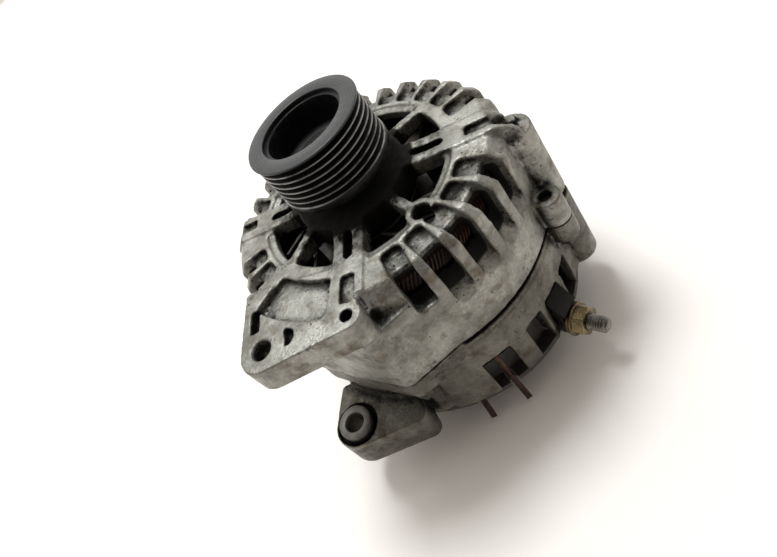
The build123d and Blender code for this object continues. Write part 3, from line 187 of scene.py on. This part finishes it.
def patches(tree, place, size, low, high, detail=4.0, rough=0.6):
    """Noise of a feature size in metres, stretched so that low to high becomes 0 to 1."""
    cloud = shader_node(tree, "ShaderNodeTexNoise", {"Vector": place, "Scale": 1 / size, "Detail": detail,
                                                     "Roughness": rough})
    return ramp(tree, cloud.outputs["Fac"], low, high)


def calc(tree, how, first, second):
    """One arithmetic step on two numbers or number sockets, kept between 0 and 1."""
    made = shader_node(tree, "ShaderNodeMath", {0: first, 1: second}, operation=how, use_clamp=True)
    return made.outputs[0]


def between(tree, share, low, high):
    """A number that goes from low to high as share goes from 0 to 1."""
    found = shader_node(tree, "ShaderNodeMapRange", {"Value": share, "To Min": low, "To Max": high})
    return found.outputs["Result"]


def emboss(tree, shader, height, strength, depth):
    """Relief in the shading: height is 0 to 1, and depth is in metres."""
    relief = shader_node(tree, "ShaderNodeBump", {"Height": height, "Strength": strength, "Distance": depth})
    tree.links.new(relief.outputs["Normal"], shader.inputs["Normal"])


def hollows(tree, reach, low, high, inside=False):
    """1 in the corners that lie deeper than the reach allows, 0 in the open. inside looks into the
    material, so it finds sharp edges."""
    shade = shader_node(tree, "ShaderNodeAmbientOcclusion", {"Distance": reach}, samples=8, inside=inside)
    return ramp(tree, shade.outputs["AO"], high, low)


def shaft_distance(tree, place):
    """Distance from the shaft axis, and height, in metres."""
    flat = shader_node(tree, "ShaderNodeVectorMath", {0: place, 1: (1, 1, 0)}, operation="MULTIPLY")
    radius = shader_node(tree, "ShaderNodeVectorMath", {0: flat.outputs[0]}, operation="LENGTH")
    height = shader_node(tree, "ShaderNodeSeparateXYZ", {0: place})
    return radius.outputs["Value"], height.outputs["Z"]


def cast_tone(tree, place, fleck, tint_and_shade):
    """Bare casting: dull clouds, tan stains, a fine fleck, rusty edges in patches, and edges made brighter,
    partly as wear and partly as a painted highlight.
    """
    tone = mixed(tree, patches(tree, place, 20 * MM, 0.40, 0.68, detail=7.0), CAST_LIGHT, CAST_DULL)
    tone = mixed(tree, patches(tree, place, 9 * MM, 0.52, 0.72), tone, CAST_STAIN)
    tone = mixed(tree, calc(tree, "MULTIPLY", fleck, 0.35), tone, CAST_DULL)
    # Sharp edges made brighter: partly wear, partly a painted highlight.
    edge = hollows(tree, 1.6 * MM, 0.25, 0.6, inside=True)
    tone = mixed(tree, calc(tree, "MULTIPLY", edge, 0.75), tone, CAST_EDGE)
    rusty = calc(tree, "MULTIPLY", edge, patches(tree, place, 7 * MM, 0.50, 0.72))
    tone = mixed(tree, rusty, tone, CAST_RUST)
    # The tint covers the whole casting; on the rear bracket its darkness is partly dirt and partly painted
    # shade.
    return mixed(tree, 1.0, tone, tint_and_shade, how="MULTIPLY")


def cast_dust_and_shade(tree, place, patchy, soot_and_shade, hub_shade_reach, inner_shade_height):
    """Black dust and painted shade on a casting, 0 to 1. Dust and painted shade lie in its corners
    and deep hollows, and one number sets how far that deep darkening spreads. Dust lies in specks
    and smears. Painted shade deepens towards the hub, is solid on the hub out to its given reach,
    and covers every inner wall below the given height."""
    # Dirt and painted shade in the corners and the deep hollows.
    deep = calc(tree, "MULTIPLY", hollows(tree, 10 * MM, 0.42, 0.90), calc(tree, "ADD", patchy, soot_and_shade))
    corner = calc(tree, "MULTIPLY", hollows(tree, 3 * MM, 0.62, 0.92), calc(tree, "ADD", patchy, 0.9))
    dust_and_shade = calc(tree, "MAXIMUM", deep, corner)
    speck = patches(tree, place, 1.5 * MM, 0.59, 0.66, detail=5.0)
    near = hollows(tree, 14 * MM, 0.70, 0.95)
    area = calc(tree, "MAXIMUM", patches(tree, place, 14 * MM, 0.54, 0.66), near)
    dust_and_shade = calc(tree, "ADD", dust_and_shade, calc(tree, "MULTIPLY", speck, area))
    smear = patches(tree, place, 13 * MM, 0.54, 0.74, detail=9.0, rough=0.7)
    dust_and_shade = calc(tree, "ADD", dust_and_shade, calc(tree, "MULTIPLY", smear, 0.6))
    radius, height = shaft_distance(tree, place)
    # Painted shade under the pulley, in patches, darker towards the hub.
    hub_fade_shade = calc(tree, "MULTIPLY", ramp(tree, radius, SHADE_FADE_REACH, hub_shade_reach), 0.75)
    dust_and_shade = calc(tree, "ADD", dust_and_shade, calc(tree, "MULTIPLY", hub_fade_shade, patchy))
    # Painted shade: solid dark on the hub, and on the inner walls low inside the casting.
    hub_shade = ramp(tree, radius, hub_shade_reach + 3 * MM, hub_shade_reach)
    inner_shade = calc(tree, "MULTIPLY", ramp(tree, radius, INNER_WALL_R + 1.5 * MM, INNER_WALL_R),
                 ramp(tree, height, inner_shade_height, inner_shade_height - 2.5 * MM))
    return ramp(tree, calc(tree, "MAXIMUM", dust_and_shade, calc(tree, "MAXIMUM", hub_shade, inner_shade)), 0.15, 0.55)


def cast_alloy(name, soot_and_shade, hub_shade_reach, inner_shade_height, tint_and_shade):
    """Weathered casting with painted shade. The tint is a colour over the whole, and the rest is as in the
    dust and shade mask above.
    """
    material, tree, shader, place = new_material(name)
    fleck = patches(tree, place, 1.3 * MM, 0.42, 0.62, detail=6.0)
    patchy = patches(tree, place, 5 * MM, 0.35, 0.68, detail=8.0)
    grime_and_shade = cast_dust_and_shade(tree, place, patchy, soot_and_shade, hub_shade_reach, inner_shade_height)
    tone = cast_tone(tree, place, fleck, tint_and_shade)
    # The dust and the painted shade are mixed in as near-black.
    tree.links.new(mixed(tree, grime_and_shade, tone, CAST_GRIME_AND_SHADE), shader.inputs["Base Color"])
    tree.links.new(ramp(tree, grime_and_shade, 1.0, -0.4), shader.inputs["Metallic"])
    rough = calc(tree, "ADD", between(tree, patchy, *CAST_ROUGH), calc(tree, "MULTIPLY", grime_and_shade, 0.40))
    tree.links.new(rough, shader.inputs["Roughness"])
    emboss(tree, shader, calc(tree, "ADD", fleck, calc(tree, "MULTIPLY", grime_and_shade, 0.5)), 0.35, 0.35 * MM)
    shader.inputs["Specular IOR Level"].default_value = CAST_SPECULAR
    return material


def welded_copy(name, node):
    """A copy of a CAD node whose seams are welded."""
    piece = bpy.data.objects.new(name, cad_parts[node].data.copy())
    scene.collection.objects.link(piece)
    shell = bmesh.new()
    shell.from_mesh(piece.data)
    bmesh.ops.remove_doubles(shell, verts=shell.verts, dist=WELD)
    shell.to_mesh(piece.data)
    shell.free()
    return piece


def plain_mesh(thing):
    """An object's mesh with its modifiers applied."""
    return bpy.data.meshes.new_from_object(thing.evaluated_get(bpy.context.evaluated_depsgraph_get()))


def smooth(mesh):
    """Shade every face of a mesh smooth."""
    for face in mesh.polygons:
        face.use_smooth = True


def stand_in(piece, node, material, body):
    """Apply a copy's modifiers, dress it, and put it in its CAD node's place."""
    finished = plain_mesh(piece)
    piece.modifiers.clear()
    piece.data = finished
    smooth(finished)
    finished.materials.clear()
    finished.materials.append(material)
    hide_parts(node)
    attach(piece, body)
    return piece


def cast_piece(name, node, material):
    """Stand-in for a casting, with its edges rounded as a mould leaves them."""
    piece = welded_copy(name, node)
    remesh = piece.modifiers.new("remesh", "REMESH")
    remesh.mode = "VOXEL"
    remesh.voxel_size = CAST_VOXEL
    soften = piece.modifiers.new("soften", "SMOOTH")
    soften.factor = 0.5
    soften.iterations = 2
    thin = piece.modifiers.new("thin", "DECIMATE")
    thin.ratio = 0.5
    return stand_in(piece, node, material, "housing")


def edged_piece(name, node, width, material, body):
    """Stand-in for a machined or pressed piece, with a fine bevel on its sharp edges."""
    piece = welded_copy(name, node)
    smooth(piece.data)
    bevel = piece.modifiers.new("bevel", "BEVEL")
    bevel.width = width
    bevel.segments = 2
    bevel.limit_method = "ANGLE"
    bevel.angle_limit = math.radians(30)
    bevel.harden_normals = True
    return stand_in(piece, node, material, body)


cast_piece("front_casting", "front_housing",
           cast_alloy("front_cast_alloy", soot_and_shade=0.42, hub_shade_reach=33 * MM, inner_shade_height=117 * MM,
                      tint_and_shade=(0.91, 0.91, 0.885)))

# ---------------------------------------------------------------- rear bracket
# The same casting alloy. It is a little dirtier, because road spray reaches it first, and its
# tint is darker all over, partly for that dirt and partly as painted shade, since less light falls
# on it. Its hub is covered.
cast_piece("rear_casting", "rear_housing",
           cast_alloy("rear_cast_alloy", soot_and_shade=0.55, hub_shade_reach=10 * MM, inner_shade_height=66 * MM,
                      tint_and_shade=(0.52, 0.50, 0.46)))

# ---------------------------------------------------------------- stator
# A stack of thin steel sheets, varnished and touched with rust, that shows as a dark band in
# the seam between the brackets.
LAMINATION = 0.5 * MM


def paint(names, material):
    """Give CAD nodes a material."""
    for name in names:
        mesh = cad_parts[name].data
        mesh.materials.clear()
        mesh.materials.append(material)


laminations, tree, shader, place = new_material("laminations")
height = shader_node(tree, "ShaderNodeSeparateXYZ", {0: place}).outputs["Z"]
sheet = shader_node(tree, "ShaderNodeMath", {0: height, 1: LAMINATION}, operation="PINGPONG").outputs[0]
line = ramp(tree, sheet, 0.0, LAMINATION)
rust = patches(tree, place, 5 * MM, 0.45, 0.65)
tree.links.new(mixed(tree, rust, (0.022, 0.019, 0.016), (0.05, 0.028, 0.016)), shader.inputs["Base Color"])
shader.inputs["Metallic"].default_value = 0.4
shader.inputs["Roughness"].default_value = 0.55
emboss(tree, shader, line, 0.6, 0.2 * MM)
paint(["stator_core"], laminations)

# Winding: enamelled copper wire in bundles that leave one slot and drop into another. The
# heads are woven here, and the plain ring of the frame stands behind them.
SLOTS = 36
SLOT_STEP = math.tau / SLOTS
WIRE = 0.95 * MM
WIRES_A_SLOT = 6
LAYERS = 4
LAYER_STEP = 2.1 * MM                   # inward, from one layer to the next
LAYER_SHIFT = 0.35                      # round the shaft, as a share of the room of a wire
LEAN = 0.55                             # as a share of the step from slot to slot
HEAD_LIFT = 14.2 * MM
HEAD_FOOT = 0.03                        # share of the lift where a strand leaves the core
WEAVE_OUT = 64.2 * MM
BOW = 0.9 * MM
TUCK = 2.6 * MM                         # how far the top of a strand bends inward
TUCK_FROM = 0.75
STRAND_STEPS = 9


def worn(name, clean, stain, dirt_and_shade, metallic, rough, grain, reach=5 * MM, bump=0.2):
    """A used surface: two tones in patches, dirt and painted shade in its corners, and a grain in relief."""
    material, tree, shader, place = new_material(name)
    tone = mixed(tree, patches(tree, place, 9 * MM, 0.40, 0.65), clean, stain)
    fine = patches(tree, place, grain, 0.35, 0.65, detail=5.0)
    # Dirt and painted shade in the corners.
    corner = hollows(tree, reach, 0.30, 0.80)
    blotch = patches(tree, place, 3 * MM, 0.35, 0.6)
    spots = calc(tree, "MULTIPLY", corner, calc(tree, "ADD", blotch, 0.25))
    tree.links.new(mixed(tree, spots, tone, dirt_and_shade), shader.inputs["Base Color"])
    shader.inputs["Metallic"].default_value = metallic
    tree.links.new(between(tree, fine, *rough), shader.inputs["Roughness"])
    emboss(tree, shader, fine, bump, 0.2 * MM)
    return material


copper = worn("enamelled_copper", (0.075, 0.024, 0.011), (0.006, 0.003, 0.002), (0.003, 0.002, 0.002),
              0.6, (0.3, 0.55), 1.5 * MM, reach=3 * MM)


def strand_point(share, layer, wire, base, lift):
    """A point of a strand, at a share of its way from the core, at height base, to its top."""
    lean = (-1) ** layer * LEAN * SLOT_STEP * share
    angle = (wire + LAYER_SHIFT * layer) * SLOT_STEP / WIRES_A_SLOT + lean
    bow = BOW * (1 - (2 * share - 0.9) ** 2)
    tuck = TUCK * max(0.0, share - TUCK_FROM) / (1 - TUCK_FROM)
    radius = WEAVE_OUT - layer * LAYER_STEP + bow - tuck
    height = base + lift * (HEAD_FOOT + (1 - HEAD_FOOT) * share)
    return radius * math.cos(angle), radius * math.sin(angle), height, 1


def round_tree(name):
    """Geometry nodes: sweep a wire along the given curves, and copy it round the shaft."""
    tree = bpy.data.node_groups.new(name, "GeometryNodeTree")
    kinds = {"Geometry": "Geometry", "Wire radius": "Float", "Copies": "Int", "Finish": "Material"}
    for label, kind in kinds.items():
        tree.interface.new_socket(label, in_out="INPUT", socket_type="NodeSocket" + kind)
    tree.interface.new_socket("Geometry", in_out="OUTPUT", socket_type="NodeSocketGeometry")
    given = tree.nodes.new("NodeGroupInput").outputs
    section = shader_node(tree, "GeometryNodeCurvePrimitiveCircle", {"Resolution": 6,
                                                                     "Radius": given["Wire radius"]})
    wires = shader_node(tree, "GeometryNodeCurveToMesh", {"Curve": given["Geometry"],
                                                          "Profile Curve": section.outputs["Curve"],
                                                          "Fill Caps": True})
    spots = shader_node(tree, "GeometryNodePoints", {"Count": given["Copies"]})
    order = tree.nodes.new("GeometryNodeInputIndex").outputs[0]
    turn = shader_node(tree, "ShaderNodeMath", {0: math.tau, 1: given["Copies"]}, operation="DIVIDE")
    angle = shader_node(tree, "ShaderNodeMath", {0: order, 1: turn.outputs[0]}, operation="MULTIPLY")
    spin = shader_node(tree, "ShaderNodeCombineXYZ", {"Z": angle.outputs[0]})
    placed = shader_node(tree, "GeometryNodeInstanceOnPoints", {"Points": spots.outputs[0],
                                                                "Instance": wires.outputs[0],
                                                                "Rotation": spin.outputs[0]})
    real = shader_node(tree, "GeometryNodeRealizeInstances", {0: placed.outputs[0]})
    finished = shader_node(tree, "GeometryNodeSetMaterial", {"Geometry": real.outputs[0],
                                                             "Material": given["Finish"]})
    out = tree.nodes.new("NodeGroupOutput")
    tree.links.new(finished.outputs[0], out.inputs[0])
    return tree


def baked(holder, name, tree, values, body):
    """Run a geometry tree on an object, keep its result as a plain mesh, and let it ride."""
    machine = holder.modifiers.new("nodes", "NODES")
    machine.node_group = tree
    for socket in tree.interface.items_tree:
        if socket.in_out == "INPUT" and socket.name in values:
            machine[socket.identifier] = values[socket.name]
    bpy.context.view_layer.update()
    mesh = plain_mesh(holder)
    bpy.data.objects.remove(holder)
    piece = bpy.data.objects.new(name, mesh)
    scene.collection.objects.link(piece)
    smooth(mesh)
    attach(piece, body)
    return piece


core_low, core_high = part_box("stator_core")
weave = round_tree("winding_weave")
for side, base, lift in (("front", core_high.z, HEAD_LIFT), ("rear", core_low.z, -HEAD_LIFT)):
    bundle = bpy.data.curves.new(side + "_strands", "CURVE")
    bundle.dimensions = "3D"
    for layer in range(LAYERS):
        for wire in range(WIRES_A_SLOT):
            spline = bundle.splines.new("POLY")
            spline.points.add(STRAND_STEPS)
            for step, point in enumerate(spline.points):
                point.co = strand_point(step / STRAND_STEPS, layer, wire, base, lift)
    holder = bpy.data.objects.new(side + "_strands", bundle)
    scene.collection.objects.link(holder)
    baked(holder, side + "_winding_wires", weave,
          {"Wire radius": WIRE / 2, "Copies": SLOTS, "Finish": copper}, "housing")

varnish = worn("winding_varnish", (0.012, 0.006, 0.004), (0.007, 0.004, 0.003), (0.003, 0.002, 0.002),
               0.2, (0.35, 0.6), 1.0 * MM)
paint(["stator_winding"], varnish)

# Leads: flat strips of tinned copper that come out past the rear rim, dull and spattered.
lead_skin = worn("lead_strip", (0.09, 0.045, 0.028), (0.022, 0.015, 0.012), (0.01, 0.007, 0.006), 0.6,
                 (0.35, 0.65), 1.2 * MM)
edged_piece("lead_strips", "stator_leads", 0.2 * MM, lead_skin, "housing")

# ---------------------------------------------------------------- bolts and bush
# Zinc-plated small screws, through bolts gone dull under road dirt, and the plain steel bush
# that slides in the rear foot.
zinc = worn("zinc_steel", (0.50, 0.49, 0.46), (0.30, 0.28, 0.24), (0.05, 0.04, 0.03), 0.8,
            (0.3, 0.55), 0.8 * MM)
paint(["retainer_screws", "regulator_screws", "cover_nuts", "regulator_pins", "bearing_retainer"], zinc)
grimy = worn("grimy_zinc", (0.09, 0.085, 0.075), (0.045, 0.04, 0.033), (0.006, 0.005, 0.004), 0.7,
             (0.45, 0.7), 0.8 * MM)
edged_piece("flanged_bolts", "through_bolts", 0.3 * MM, grimy, "housing")
bush_steel = worn("bush_steel", (0.20, 0.195, 0.18), (0.11, 0.10, 0.09), (0.012, 0.011, 0.01), 0.7,
                  (0.35, 0.6), 0.7 * MM, reach=8 * MM)
edged_piece("sliding_bush", "foot_bush", 0.3 * MM, bush_steel, "bush")

# ---------------------------------------------------------------- bearings
# Two ball bearings: ground steel rings and balls, a moulded cage, and rubber seals with a film
# of grease.
ground = worn("ground_steel", (0.55, 0.55, 0.55), (0.42, 0.41, 0.39), (0.08, 0.07, 0.06), 0.95,
              (0.12, 0.3), 0.5 * MM, bump=0.05)
rubber = worn("seal_rubber", (0.022, 0.022, 0.024), (0.035, 0.032, 0.03), (0.01, 0.01, 0.01), 0.0,
              (0.45, 0.7), 0.6 * MM)
moulded = worn("moulded_black", (0.028, 0.028, 0.03), (0.045, 0.042, 0.038), (0.012, 0.011, 0.01), 0.0,
               (0.4, 0.6), 0.5 * MM)
for end in ("front", "rear"):
    paint([end + "_bearing_" + part for part in ("outer_ring", "inner_ring", "balls")], ground)
    paint([end + "_bearing_seals"], rubber)
    paint([end + "_bearing_cage"], moulded)

# ---------------------------------------------------------------- rotor
# Forged claw poles with a dark skin, pressed steel fans, and the coil between the poles. The
# slip rings at the rear end are copper, polished by the brushes.
forged = worn("forged_steel", (0.05, 0.045, 0.042), (0.05, 0.034, 0.022), (0.01, 0.009, 0.008), 0.5,
              (0.45, 0.75), 1.2 * MM, bump=0.35)
paint(["front_claw_pole", "rear_claw_pole"], forged)
# The fan steel is darkened as painted shade, for the shade inside the brackets.
pressed = worn("fan_steel", (0.09, 0.085, 0.08), (0.03, 0.026, 0.022), (0.008, 0.007, 0.006), 0.6,
               (0.35, 0.6), 1 * MM)
paint(["front_fan", "rear_fan"], pressed)
paint(["shaft", "spacer_collar", "clutch_rollers"], ground)
paint(["field_coil"], copper)
paint(["coil_bobbin", "slip_ring_carrier", "clutch_cage"], moulded)
paint(["slip_rings"], worn("slip_ring_copper", (0.60, 0.30, 0.16), (0.40, 0.2, 0.1), (0.05, 0.03, 0.02), 0.95,
                           (0.15, 0.3), 0.4 * MM, bump=0.05))

# ---------------------------------------------------------------- pulley
# Steel ring turned on a lathe and blackened: a matte face, ribs whose crests the belt keeps
# bright, and a deep bore whose hub is near-black as painted shade.
CREST_R = 29.2 * MM
BORE_CLEAR_R = 25 * MM                  # outside the bore, and inside the floor of the grooves
RIM_Z = 164.5 * MM                      # wear and grease end here, below the face
FACE_TONE = (0.060, 0.060, 0.061)
GROOVE_TONE = (0.002, 0.002, 0.002)
CREST_TONE = (0.24, 0.24, 0.235)
TURNING = 0.35 * MM
blacked, tree, shader, place = new_material("pulley_black")
radius, height = shaft_distance(tree, place)
below_face = ramp(tree, height, RIM_Z, RIM_Z - 1 * MM)
on_face = ramp(tree, height, RIM_Z + 0.6 * MM, RIM_Z + 1.2 * MM)
lathe = shader_node(tree, "ShaderNodeCombineXYZ", {"X": radius, "Y": height}).outputs[0]
marks = patches(tree, lathe, TURNING, 0.3, 0.7, detail=2.0)
crest = calc(tree, "MULTIPLY", ramp(tree, radius, CREST_R - 0.45 * MM, CREST_R - 0.1 * MM),
             ramp(tree, radius, CREST_R + 0.35 * MM, CREST_R + 0.2 * MM))
wear = calc(tree, "MULTIPLY", crest, patches(tree, place, 9 * MM, 0.25, 0.5))
wear = calc(tree, "MULTIPLY", wear, below_face)
flank = mixed(tree, patches(tree, place, 12 * MM, 0.4, 0.65), (0.006, 0.006, 0.007), (0.012, 0.011, 0.010))
tone = mixed(tree, on_face, flank, FACE_TONE)
outer = calc(tree, "MULTIPLY", ramp(tree, radius, BORE_CLEAR_R, BORE_CLEAR_R + 1 * MM), below_face)
groove = calc(tree, "MULTIPLY", ramp(tree, radius, CREST_R - 0.1 * MM, CREST_R - 0.8 * MM), outer)
tone = mixed(tree, groove, tone, GROOVE_TONE)
tree.links.new(mixed(tree, wear, tone, CREST_TONE), shader.inputs["Base Color"])
tree.links.new(calc(tree, "ADD", wear, ramp(tree, groove, 1.0, -4.0)), shader.inputs["Metallic"])
gloss = between(tree, marks, 0.20, 0.34)
rough = calc(tree, "ADD", gloss, calc(tree, "MULTIPLY", groove, 0.4))
tree.links.new(rough, shader.inputs["Roughness"])
emboss(tree, shader, marks, 0.25, 0.1 * MM)
shader.inputs["Specular IOR Level"].default_value = 0.22
edged_piece("grooved_ring", "pulley_ring", 0.18 * MM, blacked, "pulley")
# The pulley hub is near-black as painted shade, for the shade deep in the bore.
hub_steel = worn("hub_steel", (0.02, 0.019, 0.018), (0.035, 0.026, 0.018), (0.005, 0.005, 0.005), 0.6,
                 (0.4, 0.6), 1 * MM)
paint(["pulley_hub"], hub_steel)
paint(["pulley_seal"], rubber)

# ---------------------------------------------------------------- rear electrics
# Aluminium heat sinks with pressed-in diodes, a moulded terminal ring between them, and the
# regulator with its brush holder.
sink = worn("sink_alloy", (0.55, 0.55, 0.54), (0.40, 0.39, 0.36), (0.06, 0.05, 0.04), 0.7,
            (0.35, 0.55), 0.8 * MM)
paint(["negative_plate", "positive_plate", "negative_diodes", "positive_diodes"], sink)
paint(["terminal_ring", "brush_holder", "voltage_regulator"], moulded)
carbon = worn("carbon", (0.035, 0.033, 0.032), (0.05, 0.045, 0.04), (0.01, 0.01, 0.01), 0.1,
              (0.5, 0.7), 0.3 * MM)
paint(["upper_brush", "lower_brush"], carbon)

# Each brush presses on its spring, against the end of the holder; here each coil is a welded copy of its CAD
# node and keeps its shape.
for side in ("upper", "lower"):
    node = side + "_brush_spring"
    coil = stand_in(welded_copy(side + "_spring_coil", node), node, ground, "housing")
    low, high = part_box(node)
    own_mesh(coil)

# ---------------------------------------------------------------- battery terminal
# M8 stud with a rolled thread, a washer and a flanged nut, yellow-passivated and greasy, on a
# glossy moulded block.
STUD_ANGLE = math.radians(290.2)
STUD_Z = 25 * MM
STUD_R = 4 * MM
STUD_BEVEL = 0.4 * MM
STUD_START = 53.3 * MM                  # along the stud, from the shaft axis
NECK_START = 80.6 * MM
THREAD_START = 87.4 * MM
STUD_END = 96.0 * MM
NECK_R = 3.6 * MM
THREAD_PITCH = 1.25 * MM
THREAD_DEPTH = 0.75 * MM
THREAD_SLOPE = 2.4                      # how soon a flank reaches the crest
TIP_LENGTH = 1.2 * MM
TIP_SHARE = 0.80                        # the tip's size against the thread's
AROUND = 40
PER_TURN = 8
gold = worn("passivated_zinc", (0.26, 0.20, 0.10), (0.05, 0.035, 0.02), (0.008, 0.006, 0.004), 0.8,
            (0.18, 0.45), 0.8 * MM, reach=6 * MM)
edged_piece("flanged_nut", "b_plus_nut", 0.35 * MM, gold, "housing")
edged_piece("terminal_washer", "b_plus_washer", 0.2 * MM, gold, "housing")
block = worn("terminal_block", (0.006, 0.006, 0.007), (0.014, 0.012, 0.01), (0.004, 0.003, 0.003), 0.0,
             (0.12, 0.3), 0.6 * MM)
block.node_tree.nodes["Principled BSDF"].inputs["Specular IOR Level"].default_value = 0.1
edged_piece("terminal_insulator", "b_plus_insulator", 0.5 * MM, block, "housing")


def thread_ring(step):
    """(place along the stud, radius) of each point of one ring, whose radii follow the helix."""
    along = THREAD_START + step * THREAD_PITCH / PER_TURN
    tip = min(1.0, (STUD_END - along) / TIP_LENGTH)
    ring = []
    for turn in range(AROUND):
        phase = (step / PER_TURN - turn / AROUND) % 1
        ridge = min(1.0, THREAD_SLOPE * min(phase, 1 - phase))
        radius = STUD_R - THREAD_DEPTH * (1 - ridge)
        ring.append((along, radius * (TIP_SHARE + (1 - TIP_SHARE) * tip)))
    return ring


# The stud is a skin over rings of points: two plain stretches, then the threaded one.
plain = [(STUD_START, STUD_R - STUD_BEVEL), (STUD_START + STUD_BEVEL, STUD_R), (NECK_START, STUD_R),
         (NECK_START + 0.05 * MM, NECK_R), (THREAD_START - 0.3 * MM, NECK_R)]
rings = [[spot] * AROUND for spot in plain]
thread_steps = int((STUD_END - 0.2 * MM - THREAD_START) / THREAD_PITCH * PER_TURN)
rings += [thread_ring(step) for step in range(thread_steps + 1)]
outward = Vector((math.cos(STUD_ANGLE), math.sin(STUD_ANGLE), 0))
sideways = Vector((-outward.y, outward.x, 0))
threaded = bmesh.new()
rows = []
for ring in rings:
    row = []
    for turn, (along, radius) in enumerate(ring):
        around = math.tau * turn / AROUND
        rise = Vector((0, 0, STUD_Z + radius * math.sin(around)))
        row.append(threaded.verts.new(outward * along + sideways * radius * math.cos(around) + rise))
    rows.append(row)
for low, high in zip(rows, rows[1:]):
    for turn in range(AROUND):
        after = (turn + 1) % AROUND
        threaded.faces.new((low[turn], low[after], high[after], high[turn]))
threaded.faces.new(list(reversed(rows[0])))
threaded.faces.new(rows[-1])
bmesh.ops.recalc_face_normals(threaded, faces=threaded.faces)
stud_mesh = bpy.data.meshes.new("threaded_stud")
threaded.to_mesh(stud_mesh)
threaded.free()
threaded_stud = bpy.data.objects.new("threaded_stud", stud_mesh)
scene.collection.objects.link(threaded_stud)
oily = worn("oily_zinc", (0.26, 0.25, 0.22), (0.13, 0.12, 0.10), (0.012, 0.01, 0.008), 0.85,
            (0.25, 0.5), 0.7 * MM, reach=1.2 * MM)
stand_in(threaded_stud, "b_plus_stud", oily, "housing")

# ---------------------------------------------------------------- rear cover
# Black glass-filled plastic, moulded. It is a little greyer with age, and pale dust lies in its
# corners.
cover_plastic = worn("cover_plastic", (0.03, 0.03, 0.032), (0.06, 0.055, 0.048), (0.09, 0.075, 0.055), 0.0,
                     (0.5, 0.7), 0.7 * MM, bump=0.3)
paint(["rear_cover"], cover_plastic)
